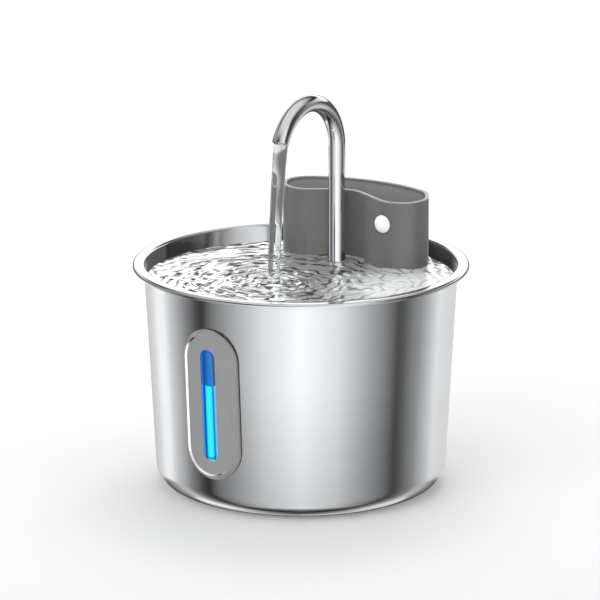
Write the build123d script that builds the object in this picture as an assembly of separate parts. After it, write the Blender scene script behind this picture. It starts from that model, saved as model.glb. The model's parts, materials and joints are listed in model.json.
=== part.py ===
from build123d import *
import math
import os

# Pet water fountain: a steel bowl with a sight window, a lift-out pump and filter housing with a
# push button and a lid, and a gooseneck faucet that swivels in a plug-in sleeve.
# Millimetres, +Z up. The origin is at the middle of the bowl, on the surface that it stands on.
# Front is -Y and right is +X: the window faces the front left, the housing stands at the rear right.

# ---------------------------------------------------------------- driving dimensions
# Bowl
foot_height = 1.2            # silicone ring between the bowl and the table
foot_ring_width = 10.0
foot_ring_inset = 34.0       # outside of the foot ring, in from the rim
bowl_height = 135.0          # steel alone, from its underside to the top of the rim
rim_radius = 100.0
flange_width = 6.6           # from the rim to the outside of the wall, at rim level
wall_lean = 3.2              # degrees from vertical
bowl_sheet = 0.8
bowl_corner = 13.0           # outside radius between wall and floor
rim_bend = 1.6
lip_drop = 2.5
lip_bend = 1.4

# Sight window
window_azimuth = 35.5        # degrees from the front towards the left
window_height = 69.0         # middle of the window above the table
frame_length = 92.0
frame_width = 38.0
frame_depth = 3.4
frame_bevel = 2.1
slot_length = 68.7
slot_width = 10.4
wall_slot_length = 71.0
wall_slot_width = 12.6
gasket_thickness = 0.7
gasket_inset = 0.7
lens_recess = 1.2            # lens face below the frame's face
lens_flange_margin = 2.6
lens_flange_thickness = 1.4
backplate_length = 84.0
backplate_width = 30.0
backplate_thickness = 2.4
window_cut_reach = 17.3      # of the window's cuts, on both sides of its plane
window_screw_x = 10.6
window_screw_y = 31.0
window_screw_radius = 1.25
window_screw_head_radius = 2.3
window_screw_head_height = 1.5
window_screw_tip = 2.0       # reach of the screws in front of the wall
screw_hole_clearance = 0.15
screw_thread_clearance = 0.04
seal_clearance = 0.05

# Housing outline, seen from above, in the unit's own plan frame. All of the unit is laid out in
# this frame. Its back is concentric with the bowl, and the frame moves with it when the bowl grows.
back_gap = 2.6               # from the back to the outside of the wall, at rim level
unit_back = 90.8             # back of the housing in the unit's frame
unit_azimuth = 30.0          # degrees from the back towards the right, to the middle of the housing
housing_left = -10.8
housing_right = 76.6
housing_front = 56.2         # front of the left lobe
lobe_front = 20.7            # front of the right lobe
waist_x = 31.1               # corner where the left lobe's front turns
lobe_corner_x = 50.5         # corner where the slanted front meets the right lobe's front
lobe_radius = 16.2
waist_radius = 18.0

# Base outline: the housing outline with a bay at the front for the faucet socket
bay_left_y = 48.0
bay_corner_x = 8.0
bay_corner_y = 28.0
bay_radius = 14.0
bay_blend_x = 46.0
bay_blend_radius = 40.0

# Heights and walls of the fountain unit
bowl_gap = 1.0               # housing and base to the bowl's wall
base_lift = 2.2              # underside of the base above the bowl's floor
base_height = 43.8
base_wall = 2.0
deck_thickness = 2.0
housing_top = 166.8
housing_wall = 2.2
fit_clearance = 0.15
free_clearance = 0.3
rib_height = 3.0
rib_thickness = 1.5
cup_radius = 5.0
cup_points = [(0.0, 62.0), (14.0, 36.0), (58.0, 32.0), (36.0, 58.0)]

# Fasteners of the fountain unit
case_screw_radius = 1.25
case_screw_head_radius = 2.6
case_screw_head_height = 1.6
case_screw_grip = 9.0
case_boss_radius = 3.2
deck_screw_points = [(8.0, 32.5), (40.0, 29.5), (63.5, 49.0), (-3.5, 79.0)]
housing_screw_points = [(71.5, 40.0), (43.0, 69.0), (51.0, 27.5)]
housing_boss_height = 14.0
housing_boss_radius = 3.8

# Lid
lid_recess = 0.9
lid_thickness = 2.0
seal_thickness = 0.8
ledge_width = 1.3
ledge_thickness = 1.6
skirt_depth = 2.6
skirt_thickness = 1.4

# Filter bay and cartridge
divider_x = 36.0
divider_thickness = 1.6
cartridge_gap = 1.7          # cartridge to the housing's walls, clear of the lid's ledge
cartridge_wall = 1.4
cartridge_top = 116.0
cartridge_cut_gap = 1.4
cotton_height = 5.5
resin_height = 23.0
carbon_height = 24.0
media_gap = 0.3
handle_width = 8.0
handle_x = 14.0
handle_thickness = 2.0
intake_low = 62.0
intake_high = 104.0
intake_width = 2.4
intake_reach = 8.0           # of the slots, in front of and behind the housing's faces
intake_front_x = [2.0, 6.5, 11.0]
intake_left_y = [68.0, 73.0, 78.0]
grid_x = [4.0, 9.0, 14.0, 19.0, 24.0, 29.0]
grid_front_y = 61.0
grid_back_y = 76.0
grid_width = 2.6
frame_grid_inset = 2.0       # cartridge slots start this far behind the deck's slots

# Button and its switch
button_x = 48.7
button_z = 152.8
button_azimuth = 33.0        # degrees from the front towards the left
button_radius = 5.4
button_dome = 2.0
button_travel = 0.6
button_skirt = 3.2           # cap depth behind the bezel's face
button_flange = 1.0
button_stem_radius = 1.9
bezel_outer_radius = 6.4
bezel_depth = 2.9
bezel_proud = 0.5
button_boss_radius = 8.2
button_boss_depth = 8.0
button_boss_floor = 1.0
button_gasket_thickness = 1.2
switch_size = 6.0
switch_height = 3.2
board_width = 18.0
board_height = 16.0
board_thickness = 1.6
board_post_x = 6.4
board_post_z = 5.4
board_post_radius = 1.9
board_screw_radius = 0.9
board_screw_grip = 3.0
board_screw_hole = 4.0

# Cord grommet in the back wall
grommet_azimuth = 35.0       # degrees from the back towards the right
grommet_z = 150.0
grommet_neck_radius = 4.1
grommet_flange_radius = 6.0
grommet_flange_thickness = 1.2
cord_bore_radius = 1.9

# Pump
pump_y = 48.0
pump_z = 26.0
volute_radius = 14.0
volute_wall = 1.5
volute_front_x = 15.0
volute_back_x = 28.0
volute_back_wall = 2.0
case_back_x = 54.0
case_width = 26.0
case_corner = 5.0
case_edge = 1.2
rotor_well_radius = 6.8
rotor_well_wall = 4.0
inlet_cover_thickness = 2.0
inlet_plug_depth = 2.0
inlet_outer_radius = 8.5
inlet_spoke = 1.6
hub_radius = 3.6
impeller_radius = 10.5
impeller_hub_radius = 3.2
impeller_disc = 1.3
impeller_blades = 6
blade_thickness = 1.2
magnet_radius = 6.0
shaft_radius = 1.0
shaft_clearance = 0.05
bush_radius = 2.2
rear_bush_radius = 2.6
bush_length = 4.3
rear_bush_length = 2.5
slider_width = 15.4
slider_height = 12.0
slider_bottom = 29.0
slider_thickness = 1.4
slider_tab_width = 8.0
rail_low = 15.0
rail_high = 37.0
pump_foot_radius = 4.5
pump_foot_points = [(34.0, 41.0), (34.0, 55.0), (47.0, 41.0), (47.0, 55.0)]
gland_x = 46.0
gland_radius = 3.0
gland_height = 6.0
spigot_radius = 4.6
spigot_bore = 3.4
spigot_height = 3.5
coupler_wall = 1.7
coupler_length = 6.2
nozzle_length = 3.8
deck_cord_hole = 4.0

# Prefilter and light in the base
foam_left = -7.5
foam_right = 9.0
foam_front = 52.0
foam_back = 75.0
foam_corner = 3.0
led_z = 28.0
led_radius = 4.1
led_flange_radius = 5.4
led_flange_thickness = 1.2
led_dome = 1.6
led_ring_thickness = 1.2
led_board_size = 12.0

# Faucet
tube_x = 21.5
tube_y = 48.0
tube_radius = 5.15
tube_wall = 0.8
arch_radius = 32.0
arch_sweep = 155.0           # degrees
arch_azimuth = 33.5          # degrees from the front towards the left
arch_start_z = 195.2
tube_clearance = 0.1
sleeve_wall = 1.15
sleeve_height = 16.5
sleeve_lip = 1.8
sleeve_lip_bore = 4.4
sleeve_flange_radius = 7.4
sleeve_flange_thickness = 1.7
socket_height = 16.0
socket_wall = 1.3
socket_floor = 1.2
oring_depth = 0.45
oring_width = 1.3
oring_offsets = [4.0, 9.0]
cradle_width = 7.6
cradle_height = 5.0
cradle_drop = 1.4

# ---------------------------------------------------------------- derived places
wall_top_radius = rim_radius - flange_width
housing_back_radius = wall_top_radius - back_gap
unit_x = (housing_back_radius - unit_back) * math.sin(math.radians(unit_azimuth))
unit_y = (housing_back_radius - unit_back) * math.cos(math.radians(unit_azimuth))

# ---------------------------------------------------------------- derived heights
bowl_floor = foot_height + bowl_sheet
rim_top = foot_height + bowl_height
base_bottom = bowl_floor + base_lift
base_top = base_bottom + base_height
base_floor = base_bottom + base_wall
deck_top = base_top + deck_thickness
lid_top = housing_top - lid_recess
lid_bottom = lid_top - lid_thickness
ledge_top = lid_bottom - seal_thickness - free_clearance
cartridge_bottom = deck_top + rib_height + 2 * free_clearance
socket_bottom = deck_top + socket_floor
sleeve_bottom = socket_bottom + free_clearance
socket_bore = tube_radius + tube_clearance + sleeve_wall + tube_clearance


# ---------------------------------------------------------------- shared shapes
def wall_radius(height):
    """Outside radius of the bowl's wall at a height."""
    return wall_top_radius - math.tan(math.radians(wall_lean)) * (rim_top - height)


def front_left(degrees):
    """Level direction, turned from the front towards the left."""
    turn = math.radians(degrees)
    return Vector(-math.sin(turn), -math.cos(turn), 0)


def rounded_face(corners):
    """Flat face through corners of (x, y, radius), each rounded with its own radius."""
    starts = []
    middles = []
    ends = []
    for index, (x, y, radius) in enumerate(corners):
        here = Vector(x, y)
        towards_last = (Vector(*corners[index - 1][:2]) - here).normalized()
        towards_next = (Vector(*corners[(index + 1) % len(corners)][:2]) - here).normalized()
        half_angle = math.radians(towards_last.get_angle(towards_next)) / 2
        reach = radius / math.tan(half_angle)
        inward = (towards_last + towards_next).normalized()
        starts.append(here + towards_last * reach)
        ends.append(here + towards_next * reach)
        middles.append(here + inward * (radius / math.sin(half_angle) - radius))
    edges = []
    for index, (_, _, radius) in enumerate(corners):
        if radius > 0:
            edges.append(ThreePointArc(starts[index], middles[index], ends[index]))
        edges.append(Line(ends[index], starts[(index + 1) % len(corners)]))
    return make_face(edges)


def turned(section):
    """Solid of revolution about Z from corners of (radius, height, rounding)."""
    return revolve(Plane.XZ * rounded_face(section), Axis.Z)


def prism(face, low, high):
    """Upright prism on a plan face, between two heights."""
    return extrude(Plane.XY.offset(low) * face, amount=high - low)


def rod(x, y, low, high, radius):
    """Upright cylinder between two heights."""
    return Pos(x, y, low) * Cylinder(radius, high - low, align=(Align.CENTER, Align.CENTER, Align.MIN))


def rod_along_x(low, high, radius, y=pump_y, z=pump_z):
    """Cylinder along X between two places."""
    place = Pos(low, y, z) * Rot(0, 90, 0)
    return place * Cylinder(radius, high - low, align=(Align.CENTER, Align.CENTER, Align.MIN))


def block(x_low, x_high, y_low, y_high, z_low, z_high):
    """Box between limits."""
    size = (x_high - x_low, y_high - y_low, z_high - z_low)
    return Pos(x_low, y_low, z_low) * Box(*size, align=(Align.MIN, Align.MIN, Align.MIN))


def plane_rod(plane, x, y, low, high, radius):
    """Cylinder along the normal of a plane, between two distances from it."""
    place = plane.location * Pos(x, y, low)
    return place * Cylinder(radius, high - low, align=(Align.CENTER, Align.CENTER, Align.MIN))


def plane_block(plane, x, y, width, height, low, high):
    """Box centred on (x, y) of a plane, between two distances from it."""
    place = plane.location * Pos(x, y, low)
    return place * Box(width, height, high - low, align=(Align.CENTER, Align.CENTER, Align.MIN))


# ---------------------------------------------------------------- bowl
def make_foot_ring():
    outer = rim_radius - foot_ring_inset
    return rod(0, 0, 0, foot_height, outer) - rod(0, 0, 0, foot_height, outer - foot_ring_width)


def make_bowl():
    underside = rim_top - bowl_sheet
    section = [
        (0, foot_height, 0),
        (wall_radius(foot_height), foot_height, bowl_corner),
        (wall_radius(underside), underside, rim_bend - bowl_sheet),
        (rim_radius - bowl_sheet, underside, lip_bend - bowl_sheet),
        (rim_radius - bowl_sheet, rim_top - lip_drop, 0),
        (rim_radius, rim_top - lip_drop, 0),
        (rim_radius, rim_top, lip_bend),
        (wall_radius(rim_top) - bowl_sheet, rim_top, rim_bend),
        (wall_radius(bowl_floor) - bowl_sheet, bowl_floor, bowl_corner - bowl_sheet),
        (0, bowl_floor, 0),
    ]
    shell = turned(section)
    shell -= window_prism(wall_slot_length, wall_slot_width)
    shell -= window_screw_holes(window_screw_radius + screw_hole_clearance)
    return shell


# ---------------------------------------------------------------- sight window
def window_plane():
    """Plane on the outside of the wall: X to the right, Y up the wall, Z outwards."""
    outward = front_left(window_azimuth)
    lean = math.radians(wall_lean)
    normal = outward * math.cos(lean) - Vector(0, 0, math.sin(lean))
    origin = outward * wall_radius(window_height) + Vector(0, 0, window_height)
    return Plane(origin=origin, x_dir=Vector(0, 0, 1).cross(outward), z_dir=normal)


def window_prism(length, width):
    """Obround bar through the wall, upright along the window."""
    slot = window_plane() * SlotOverall(length, width, rotation=90)
    return extrude(slot, amount=window_cut_reach, both=True)


def wall_layer(inner, outer):
    """Part of the wall's cone between two offsets from its outside."""
    def cone(offset):
        low = wall_radius(foot_height) + offset
        high = wall_radius(rim_top) + offset
        return turned([(0, foot_height, 0), (low, foot_height, 0), (high, rim_top, 0), (0, rim_top, 0)])
    return cone(outer) - cone(inner)


def window_screw_points():
    return [(x, y) for x in (-window_screw_x, window_screw_x) for y in (-window_screw_y, window_screw_y)]


def screw_wall_depth():
    """How far the round wall falls behind the window's plane at the screws."""
    return wall_radius(window_height) - math.sqrt(wall_radius(window_height) ** 2 - window_screw_x ** 2)


def window_screw_seat():
    """Distance of the screw heads' seats from the window's plane."""
    stack = bowl_sheet + gasket_thickness + backplate_thickness + 2 * seal_clearance
    return -screw_wall_depth() - stack + window_screw_head_height / 2


def window_screw_holes(radius):
    holes = [
        plane_rod(window_plane(), x, y, 2 * window_screw_seat(), window_screw_tip + free_clearance, radius)
        for x, y in window_screw_points()
    ]
    return Part() + holes


def make_window_frame():
    inner = gasket_thickness
    outer = gasket_thickness + frame_depth
    body = window_prism(frame_length, frame_width) & wall_layer(inner, outer)
    face = body.faces().sort_by(Axis(window_plane().origin, window_plane().z_dir))[-1]
    body = chamfer(face.outer_wire().edges(), frame_bevel)
    body -= window_prism(slot_length, slot_width)
    flange = 2 * (lens_flange_margin + fit_clearance)
    recess = window_prism(slot_length + flange, slot_width + flange)
    body -= recess & wall_layer(inner, inner + lens_flange_thickness + fit_clearance)
    body -= window_screw_holes(window_screw_radius + screw_thread_clearance)
    return body


def make_window_lens():
    inner = gasket_thickness
    nose = window_prism(slot_length - 2 * fit_clearance, slot_width - 2 * fit_clearance)
    nose &= wall_layer(inner, inner + frame_depth - lens_recess)
    margin = 2 * lens_flange_margin
    flange = window_prism(slot_length + margin, slot_width + margin)
    flange &= wall_layer(inner, inner + lens_flange_thickness)
    return nose + flange


def make_window_gasket_outer():
    body = window_prism(frame_length - 2 * gasket_inset, frame_width - 2 * gasket_inset)
    body &= wall_layer(0, gasket_thickness)
    body -= window_prism(wall_slot_length, wall_slot_width)
    return body - window_screw_holes(window_screw_radius + screw_hole_clearance)


def make_window_gasket_inner():
    body = window_prism(backplate_length, backplate_width)
    outer = -bowl_sheet - seal_clearance
    body &= wall_layer(outer - gasket_thickness, outer)
    body -= window_prism(wall_slot_length, wall_slot_width)
    return body - window_screw_holes(window_screw_radius + screw_hole_clearance)


def make_window_backplate():
    outer = -bowl_sheet - gasket_thickness - 2 * seal_clearance
    body = window_prism(backplate_length, backplate_width)
    body &= wall_layer(outer - backplate_thickness, outer)
    body -= window_prism(wall_slot_length, wall_slot_width)
    body -= window_screw_holes(window_screw_radius + screw_hole_clearance)
    seat = window_screw_seat()
    radius = window_screw_head_radius + screw_hole_clearance
    for x, y in window_screw_points():
        body -= plane_rod(window_plane(), x, y, 2 * seat, seat, radius)
    return body


def make_window_screws():
    plane = window_plane()
    seat = window_screw_seat()
    head_end = seat - window_screw_head_height
    screws = []
    for x, y in window_screw_points():
        shank = plane_rod(plane, x, y, seat, window_screw_tip, window_screw_radius)
        head = plane_rod(plane, x, y, head_end, seat, window_screw_head_radius)
        screws.append(shank + head)
    return screws


# ---------------------------------------------------------------- housing outline
def trimmed_outline(corners):
    """Plan face cut by the round back, with both back corners rounded."""
    face = rounded_face(corners) & Pos(-unit_x, -unit_y) * Circle(housing_back_radius)
    on_back = [v for v in face.vertices() if abs(bowl_distance(v) - housing_back_radius) < free_clearance]
    return fillet(on_back, lobe_radius)


def bowl_distance(vertex):
    """Distance of a vertex of the unit's plan from the bowl's axis."""
    return math.hypot(vertex.X + unit_x, vertex.Y + unit_y)


def housing_outline():
    beyond = unit_back + lobe_radius
    return trimmed_outline([
        (housing_left, housing_front, lobe_radius),
        (waist_x, housing_front, waist_radius),
        (lobe_corner_x, lobe_front, lobe_radius),
        (housing_right, lobe_front, lobe_radius),
        (housing_right, beyond, 0),
        (housing_left, beyond, 0),
    ])


def base_outline():
    beyond = unit_back + lobe_radius
    return trimmed_outline([
        (housing_left, bay_left_y, bay_radius),
        (bay_corner_x, bay_corner_y, bay_radius),
        (bay_blend_x, lobe_front, bay_blend_radius),
        (housing_right, lobe_front, lobe_radius),
        (housing_right, beyond, 0),
        (housing_left, beyond, 0),
    ])


def bowl_space(gap):
    """Inside of the bowl, shrunk by a gap and carried on upwards past the housing, in the unit's frame."""
    low = bowl_floor + gap
    inside = wall_radius(rim_top) - bowl_sheet - gap
    above = 2 * housing_top
    return Pos(-unit_x, -unit_y) * turned([
        (0, low, 0),
        (wall_radius(low) - bowl_sheet - gap, low, bowl_corner - bowl_sheet - gap),
        (inside, rim_top, 0),
        (inside, above, 0),
        (0, above, 0),
    ])


def unit_solid(outline, low, high, inset):
    """Upright body on an outline, moved in by an inset and kept clear of the bowl."""
    face = offset(outline, amount=-inset) if inset > 0 else outline
    return prism(face, low, high) & bowl_space(bowl_gap + inset)


def unit_ring(outline, low, high, outer_inset, inner_inset):
    """Wall between two insets of an outline."""
    outer = unit_solid(outline, low, high, outer_inset)
    return outer - unit_solid(outline, low, high, inner_inset)


# ---------------------------------------------------------------- pump base
def make_pump_base(outline):
    outer = unit_solid(outline, base_bottom, base_top, 0)
    body = outer - unit_solid(outline, base_floor, base_top, base_wall)
    for x, y in deck_screw_points:
        body += rod(x, y, base_floor, base_top, case_boss_radius) & outer
    for x, y in deck_screw_points:
        body -= rod(x, y, base_top - case_screw_grip, base_top, case_screw_radius + screw_thread_clearance)
    body -= plane_rod(led_plane(), 0, 0, -2 * base_wall, base_wall, led_radius + fit_clearance)
    return body


def make_base_feet():
    return [rod(x, y, bowl_floor + free_clearance, base_bottom, cup_radius) for x, y in cup_points]


def make_base_deck(outline, housing):
    body = unit_solid(outline, base_top, deck_top, 0)
    lip_inset = base_wall + fit_clearance
    lip = unit_ring(outline, base_top - rib_height, base_top, lip_inset, lip_inset + rib_thickness)
    for x, y in deck_screw_points + housing_screw_points:
        lip -= rod(x, y, base_top - rib_height, base_top, case_boss_radius + free_clearance)
    rib_inset = housing_wall + fit_clearance
    rib = unit_ring(housing, deck_top, deck_top + rib_height, rib_inset, rib_inset + rib_thickness)
    rib -= divider_block(deck_top, deck_top + rib_height, free_clearance)
    for x, y in housing_screw_points:
        rib -= rod(x, y, deck_top, deck_top + rib_height, housing_boss_radius + free_clearance)
    body += lip
    body += rib
    body += rod(tube_x, tube_y, deck_top, deck_top + socket_height, socket_bore + socket_wall)
    body += rod(tube_x, tube_y, base_top - nozzle_length, base_top, spigot_radius)
    body -= rod(tube_x, tube_y, base_top - nozzle_length, socket_bottom, spigot_bore)
    body -= rod(tube_x, tube_y, socket_bottom, deck_top + socket_height, socket_bore)
    for x in grid_x:
        half = grid_width / 2
        body -= block(x - half, x + half, grid_front_y, grid_back_y, base_top, deck_top)
    for x, y in deck_screw_points + housing_screw_points:
        body -= rod(x, y, base_top, deck_top, case_screw_radius + screw_hole_clearance)
        body -= rod(x, y, deck_top, deck_top + rib_height, case_screw_head_radius + free_clearance)
    body -= rod(gland_x, pump_y, base_top, deck_top, deck_cord_hole)
    return body


def make_deck_screws():
    screws = []
    for x, y in deck_screw_points:
        shank = rod(x, y, base_top - case_screw_grip + free_clearance, deck_top, case_screw_radius)
        head = rod(x, y, deck_top, deck_top + case_screw_head_height, case_screw_head_radius)
        screws.append(shank + head)
    return screws


def make_housing_screws():
    screws = []
    for x, y in housing_screw_points:
        shank = rod(x, y, base_top, deck_top + case_screw_grip - free_clearance, case_screw_radius)
        head = rod(x, y, base_top - case_screw_head_height, base_top, case_screw_head_radius)
        screws.append(shank + head)
    return screws


# ---------------------------------------------------------------- housing
def button_plane():
    """Plane where the button's axis leaves the housing: X to the right, Y up, Z outwards."""
    outward = front_left(button_azimuth)
    centre_x = housing_right - lobe_radius
    centre_y = lobe_front + lobe_radius
    surface_y = centre_y - math.sqrt(lobe_radius ** 2 - (centre_x - button_x) ** 2)
    origin = Vector(button_x, surface_y, button_z)
    return Plane(origin=origin, x_dir=Vector(0, 0, 1).cross(outward), z_dir=outward)


def divider_block(low, high, margin):
    """Wall between the filter bay and the wiring space, thicker by a margin on both sides."""
    right = divider_x + divider_thickness + margin
    return block(divider_x - margin, right, lobe_front, unit_back, low, high)


def intake_slots(margin):
    """Bars for the water slots in the left lobe's front and left end."""
    half = intake_width / 2 + margin
    bars = []
    front = housing_front - intake_reach
    left = housing_left - intake_reach
    back = housing_front + intake_reach
    right = housing_left + intake_reach
    for x in intake_front_x:
        bars.append(block(x - half, x + half, front, back, intake_low, intake_high))
    for y in intake_left_y:
        bars.append(block(left, right, y - half, y + half, intake_low, intake_high))
    return bars


def grommet_plane():
    """Plane on the housing's back: X level, Z outwards."""
    turn = math.radians(grommet_azimuth)
    outward = Vector(math.sin(turn), math.cos(turn), 0)
    origin = outward * housing_back_radius + Vector(-unit_x, -unit_y, grommet_z)
    return Plane(origin=origin, x_dir=Vector(0, 0, 1).cross(outward), z_dir=outward)


def board_posts():
    """Places of the switch board's posts on the button's plane."""
    return [(-board_post_x, board_post_z), (board_post_x, -board_post_z)]


def board_face():
    """Distance of the board's front from the button's plane."""
    return -(stem_length() + button_travel + free_clearance + switch_height)


def stem_length():
    """Distance of the stem's end from the button's plane."""
    return button_boss_depth + button_travel + free_clearance


def make_housing_shell(outline):
    outer = unit_solid(outline, deck_top, housing_top, 0)
    body = outer - unit_solid(outline, deck_top, housing_top, housing_wall)
    ledge_inset = housing_wall + ledge_width
    body += unit_ring(outline, ledge_top - ledge_thickness, ledge_top, housing_wall / 2, ledge_inset)
    body += divider_block(deck_top, lid_bottom - skirt_depth - free_clearance, 0) & outer
    for x, y in housing_screw_points:
        body += rod(x, y, deck_top, deck_top + housing_boss_height, housing_boss_radius) & outer
    boss = plane_rod(button_plane(), 0, 0, -button_boss_depth, bezel_outer_radius, button_boss_radius)
    body += boss & outer
    skin = unit_solid(outline, deck_top, housing_top, housing_wall / 2)
    for x, y in board_posts():
        body += plane_rod(button_plane(), x, y, board_face(), 0, board_post_radius) & skin
    for x, y in housing_screw_points:
        body -= rod(x, y, deck_top, deck_top + case_screw_grip, case_screw_radius + screw_thread_clearance)
    bore_floor = button_boss_floor - button_boss_depth
    bore_radius = bezel_outer_radius + fit_clearance / 2
    body -= plane_rod(button_plane(), 0, 0, bore_floor, bezel_outer_radius, bore_radius)
    body -= plane_rod(button_plane(), 0, 0, -stem_length(), 0, button_stem_radius + free_clearance)
    for x, y in board_posts():
        low = board_face()
        body -= plane_rod(button_plane(), x, y, low, low + board_screw_hole, board_screw_radius)
    body -= intake_slots(0)
    neck = grommet_neck_radius + fit_clearance / 2
    body -= plane_rod(grommet_plane(), 0, 0, -2 * housing_wall, housing_wall, neck)
    return body


def make_tube_cradle(outline):
    high = housing_top - cradle_drop
    low = high - cradle_height
    half = cradle_width / 2
    back = housing_front + housing_wall
    body = block(tube_x - half, tube_x + half, tube_y, back, low, high)
    body -= rod(tube_x, tube_y, low, high, tube_radius + free_clearance)
    body -= prism(outline, low, high)
    return body.solids().sort_by(Axis.Y)[-1]


def make_cord_grommet():
    plane = grommet_plane()
    back = housing_back_radius
    flange = grommet_flange_thickness

    def layer(inner, outer, radius):
        bar = plane_rod(plane, 0, 0, -housing_wall - 3 * flange, 3 * flange, radius)
        low = grommet_z - rim_bend - grommet_flange_radius
        high = grommet_z + rim_bend + grommet_flange_radius
        return bar & (rod(-unit_x, -unit_y, low, high, outer) - rod(-unit_x, -unit_y, low, high, inner))

    inside = back - housing_wall
    body = layer(inside - flange, back + flange, grommet_neck_radius)
    body += layer(back, back + flange, grommet_flange_radius)
    body += layer(inside - flange, inside, grommet_flange_radius)
    return body - plane_rod(plane, 0, 0, -housing_wall - 3 * flange, 3 * flange, cord_bore_radius)


# ---------------------------------------------------------------- button and switch
def make_button_bezel():
    plane = button_plane()
    ring = plane_rod(plane, 0, 0, -bezel_depth, bezel_proud, bezel_outer_radius)
    return ring - plane_rod(plane, 0, 0, -bezel_depth, bezel_proud, button_radius + fit_clearance)


def make_light_button():
    plane = button_plane()
    cap = plane_rod(plane, 0, 0, -button_skirt, bezel_proud, button_radius)
    dome_radius = (button_radius ** 2 + button_dome ** 2) / (2 * button_dome)
    ball = plane.location * Pos(0, 0, bezel_proud + button_dome - dome_radius) * Sphere(dome_radius)
    dome = ball & plane_rod(plane, 0, 0, bezel_proud, bezel_proud + dome_radius, 2 * button_radius)
    flange_radius = bezel_outer_radius - fit_clearance
    flange = plane_rod(plane, 0, 0, -button_skirt - button_flange, -button_skirt, flange_radius)
    stem = plane_rod(plane, 0, 0, -stem_length(), -button_skirt, button_stem_radius)
    return cap + dome + flange + stem


def make_button_gasket():
    low = button_boss_floor - button_boss_depth
    high = low + button_gasket_thickness
    ring = plane_rod(button_plane(), 0, 0, low, high, bezel_outer_radius)
    return ring - plane_rod(button_plane(), 0, 0, low, high, button_stem_radius + free_clearance)


def make_tact_switch():
    plane = button_plane()
    body = plane_block(plane, 0, 0, switch_size, switch_size, board_face(), board_face() + switch_height)
    return chamfer(body.faces().sort_by(Axis(plane.origin, plane.z_dir))[-1].edges(), free_clearance)


def make_switch_board():
    plane = button_plane()
    low = board_face() - board_thickness
    body = plane_block(plane, 0, 0, board_width, board_height, low, board_face())
    hole = board_screw_radius + screw_hole_clearance
    for x, y in board_posts():
        body -= plane_rod(plane, x, y, low, board_face(), hole)
    return body


def make_board_screws():
    low = board_face() - board_thickness
    high = board_face() + board_screw_grip
    screws = []
    for x, y in board_posts():
        shank = plane_rod(button_plane(), x, y, low, high, board_screw_radius - screw_thread_clearance)
        head = plane_rod(button_plane(), x, y, low - board_screw_radius, low, 2 * board_screw_radius)
        screws.append(shank + head)
    return screws


# ---------------------------------------------------------------- lid
def make_housing_lid(outline):
    plate = unit_solid(outline, lid_bottom, lid_top, housing_wall + fit_clearance)
    skirt_inset = housing_wall + ledge_width + free_clearance
    low = lid_bottom - skirt_depth
    return plate + unit_ring(outline, low, lid_bottom, skirt_inset, skirt_inset + skirt_thickness)


def make_lid_seal(outline):
    outer = housing_wall + free_clearance
    inner = housing_wall + ledge_width
    return unit_ring(outline, lid_bottom - seal_thickness, lid_bottom, outer, inner)


# ---------------------------------------------------------------- filter cartridge
def cartridge_solid(outline, low, high, inset):
    """Body in the filter bay, moved in from the cartridge's outside by an inset."""
    depth = housing_wall + cartridge_gap + inset
    right = divider_x - cartridge_cut_gap - inset
    bay = block(housing_left, right, lobe_front, unit_back, low, high)
    return unit_solid(outline, low, high, depth) & bay


def make_filter_frame(outline):
    floor = cartridge_bottom + cartridge_wall
    body = cartridge_solid(outline, cartridge_bottom, cartridge_top, 0)
    body -= cartridge_solid(outline, floor, cartridge_top, cartridge_wall)
    strap = cartridge_solid(outline, cartridge_top - handle_thickness, cartridge_top, 0)
    half = handle_width / 2
    strap &= block(handle_x - half, handle_x + half, lobe_front, unit_back, 0, housing_top)
    body += strap
    body -= intake_slots(0)
    half = grid_width / 2
    front = grid_front_y + frame_grid_inset
    for x in grid_x:
        body -= block(x - half, x + half, front, grid_back_y, cartridge_bottom, floor)
    return body


def make_filter_media(outline):
    """Cotton, resin and carbon layers, from the bottom up."""
    inset = cartridge_wall + media_gap
    low = cartridge_bottom + cartridge_wall
    layers = []
    for height in (cotton_height, resin_height, carbon_height):
        layers.append(cartridge_solid(outline, low, low + height, inset))
        low += height
    return layers


# ---------------------------------------------------------------- pump
def make_pump_case():
    middle = (volute_back_x + case_back_x) / 2
    length = case_back_x - volute_back_x
    plan = Pos(middle, pump_y) * RectangleRounded(length, case_width, case_corner)
    body = prism(plan, pump_z - volute_radius, pump_z + volute_radius)
    body = chamfer(body.faces().sort_by(Axis.Z)[-1].edges(), case_edge)
    well_end = case_back_x - rotor_well_wall
    body -= rod_along_x(volute_back_x, well_end, rotor_well_radius)
    return body - rod_along_x(well_end, well_end + rear_bush_length, rear_bush_radius + fit_clearance)


def make_pump_volute():
    chamber_back = volute_back_x - volute_back_wall
    chamber_radius = volute_radius - volute_wall
    spigot_top = pump_z + volute_radius + spigot_height
    body = rod_along_x(volute_front_x, volute_back_x, volute_radius)
    body += rod(tube_x, pump_y, pump_z, spigot_top, spigot_radius)
    body -= rod_along_x(volute_front_x, chamber_back, chamber_radius)
    body -= rod_along_x(chamber_back, volute_back_x, rotor_well_radius)
    return body - rod(tube_x, pump_y, pump_z, spigot_top, spigot_bore)


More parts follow.
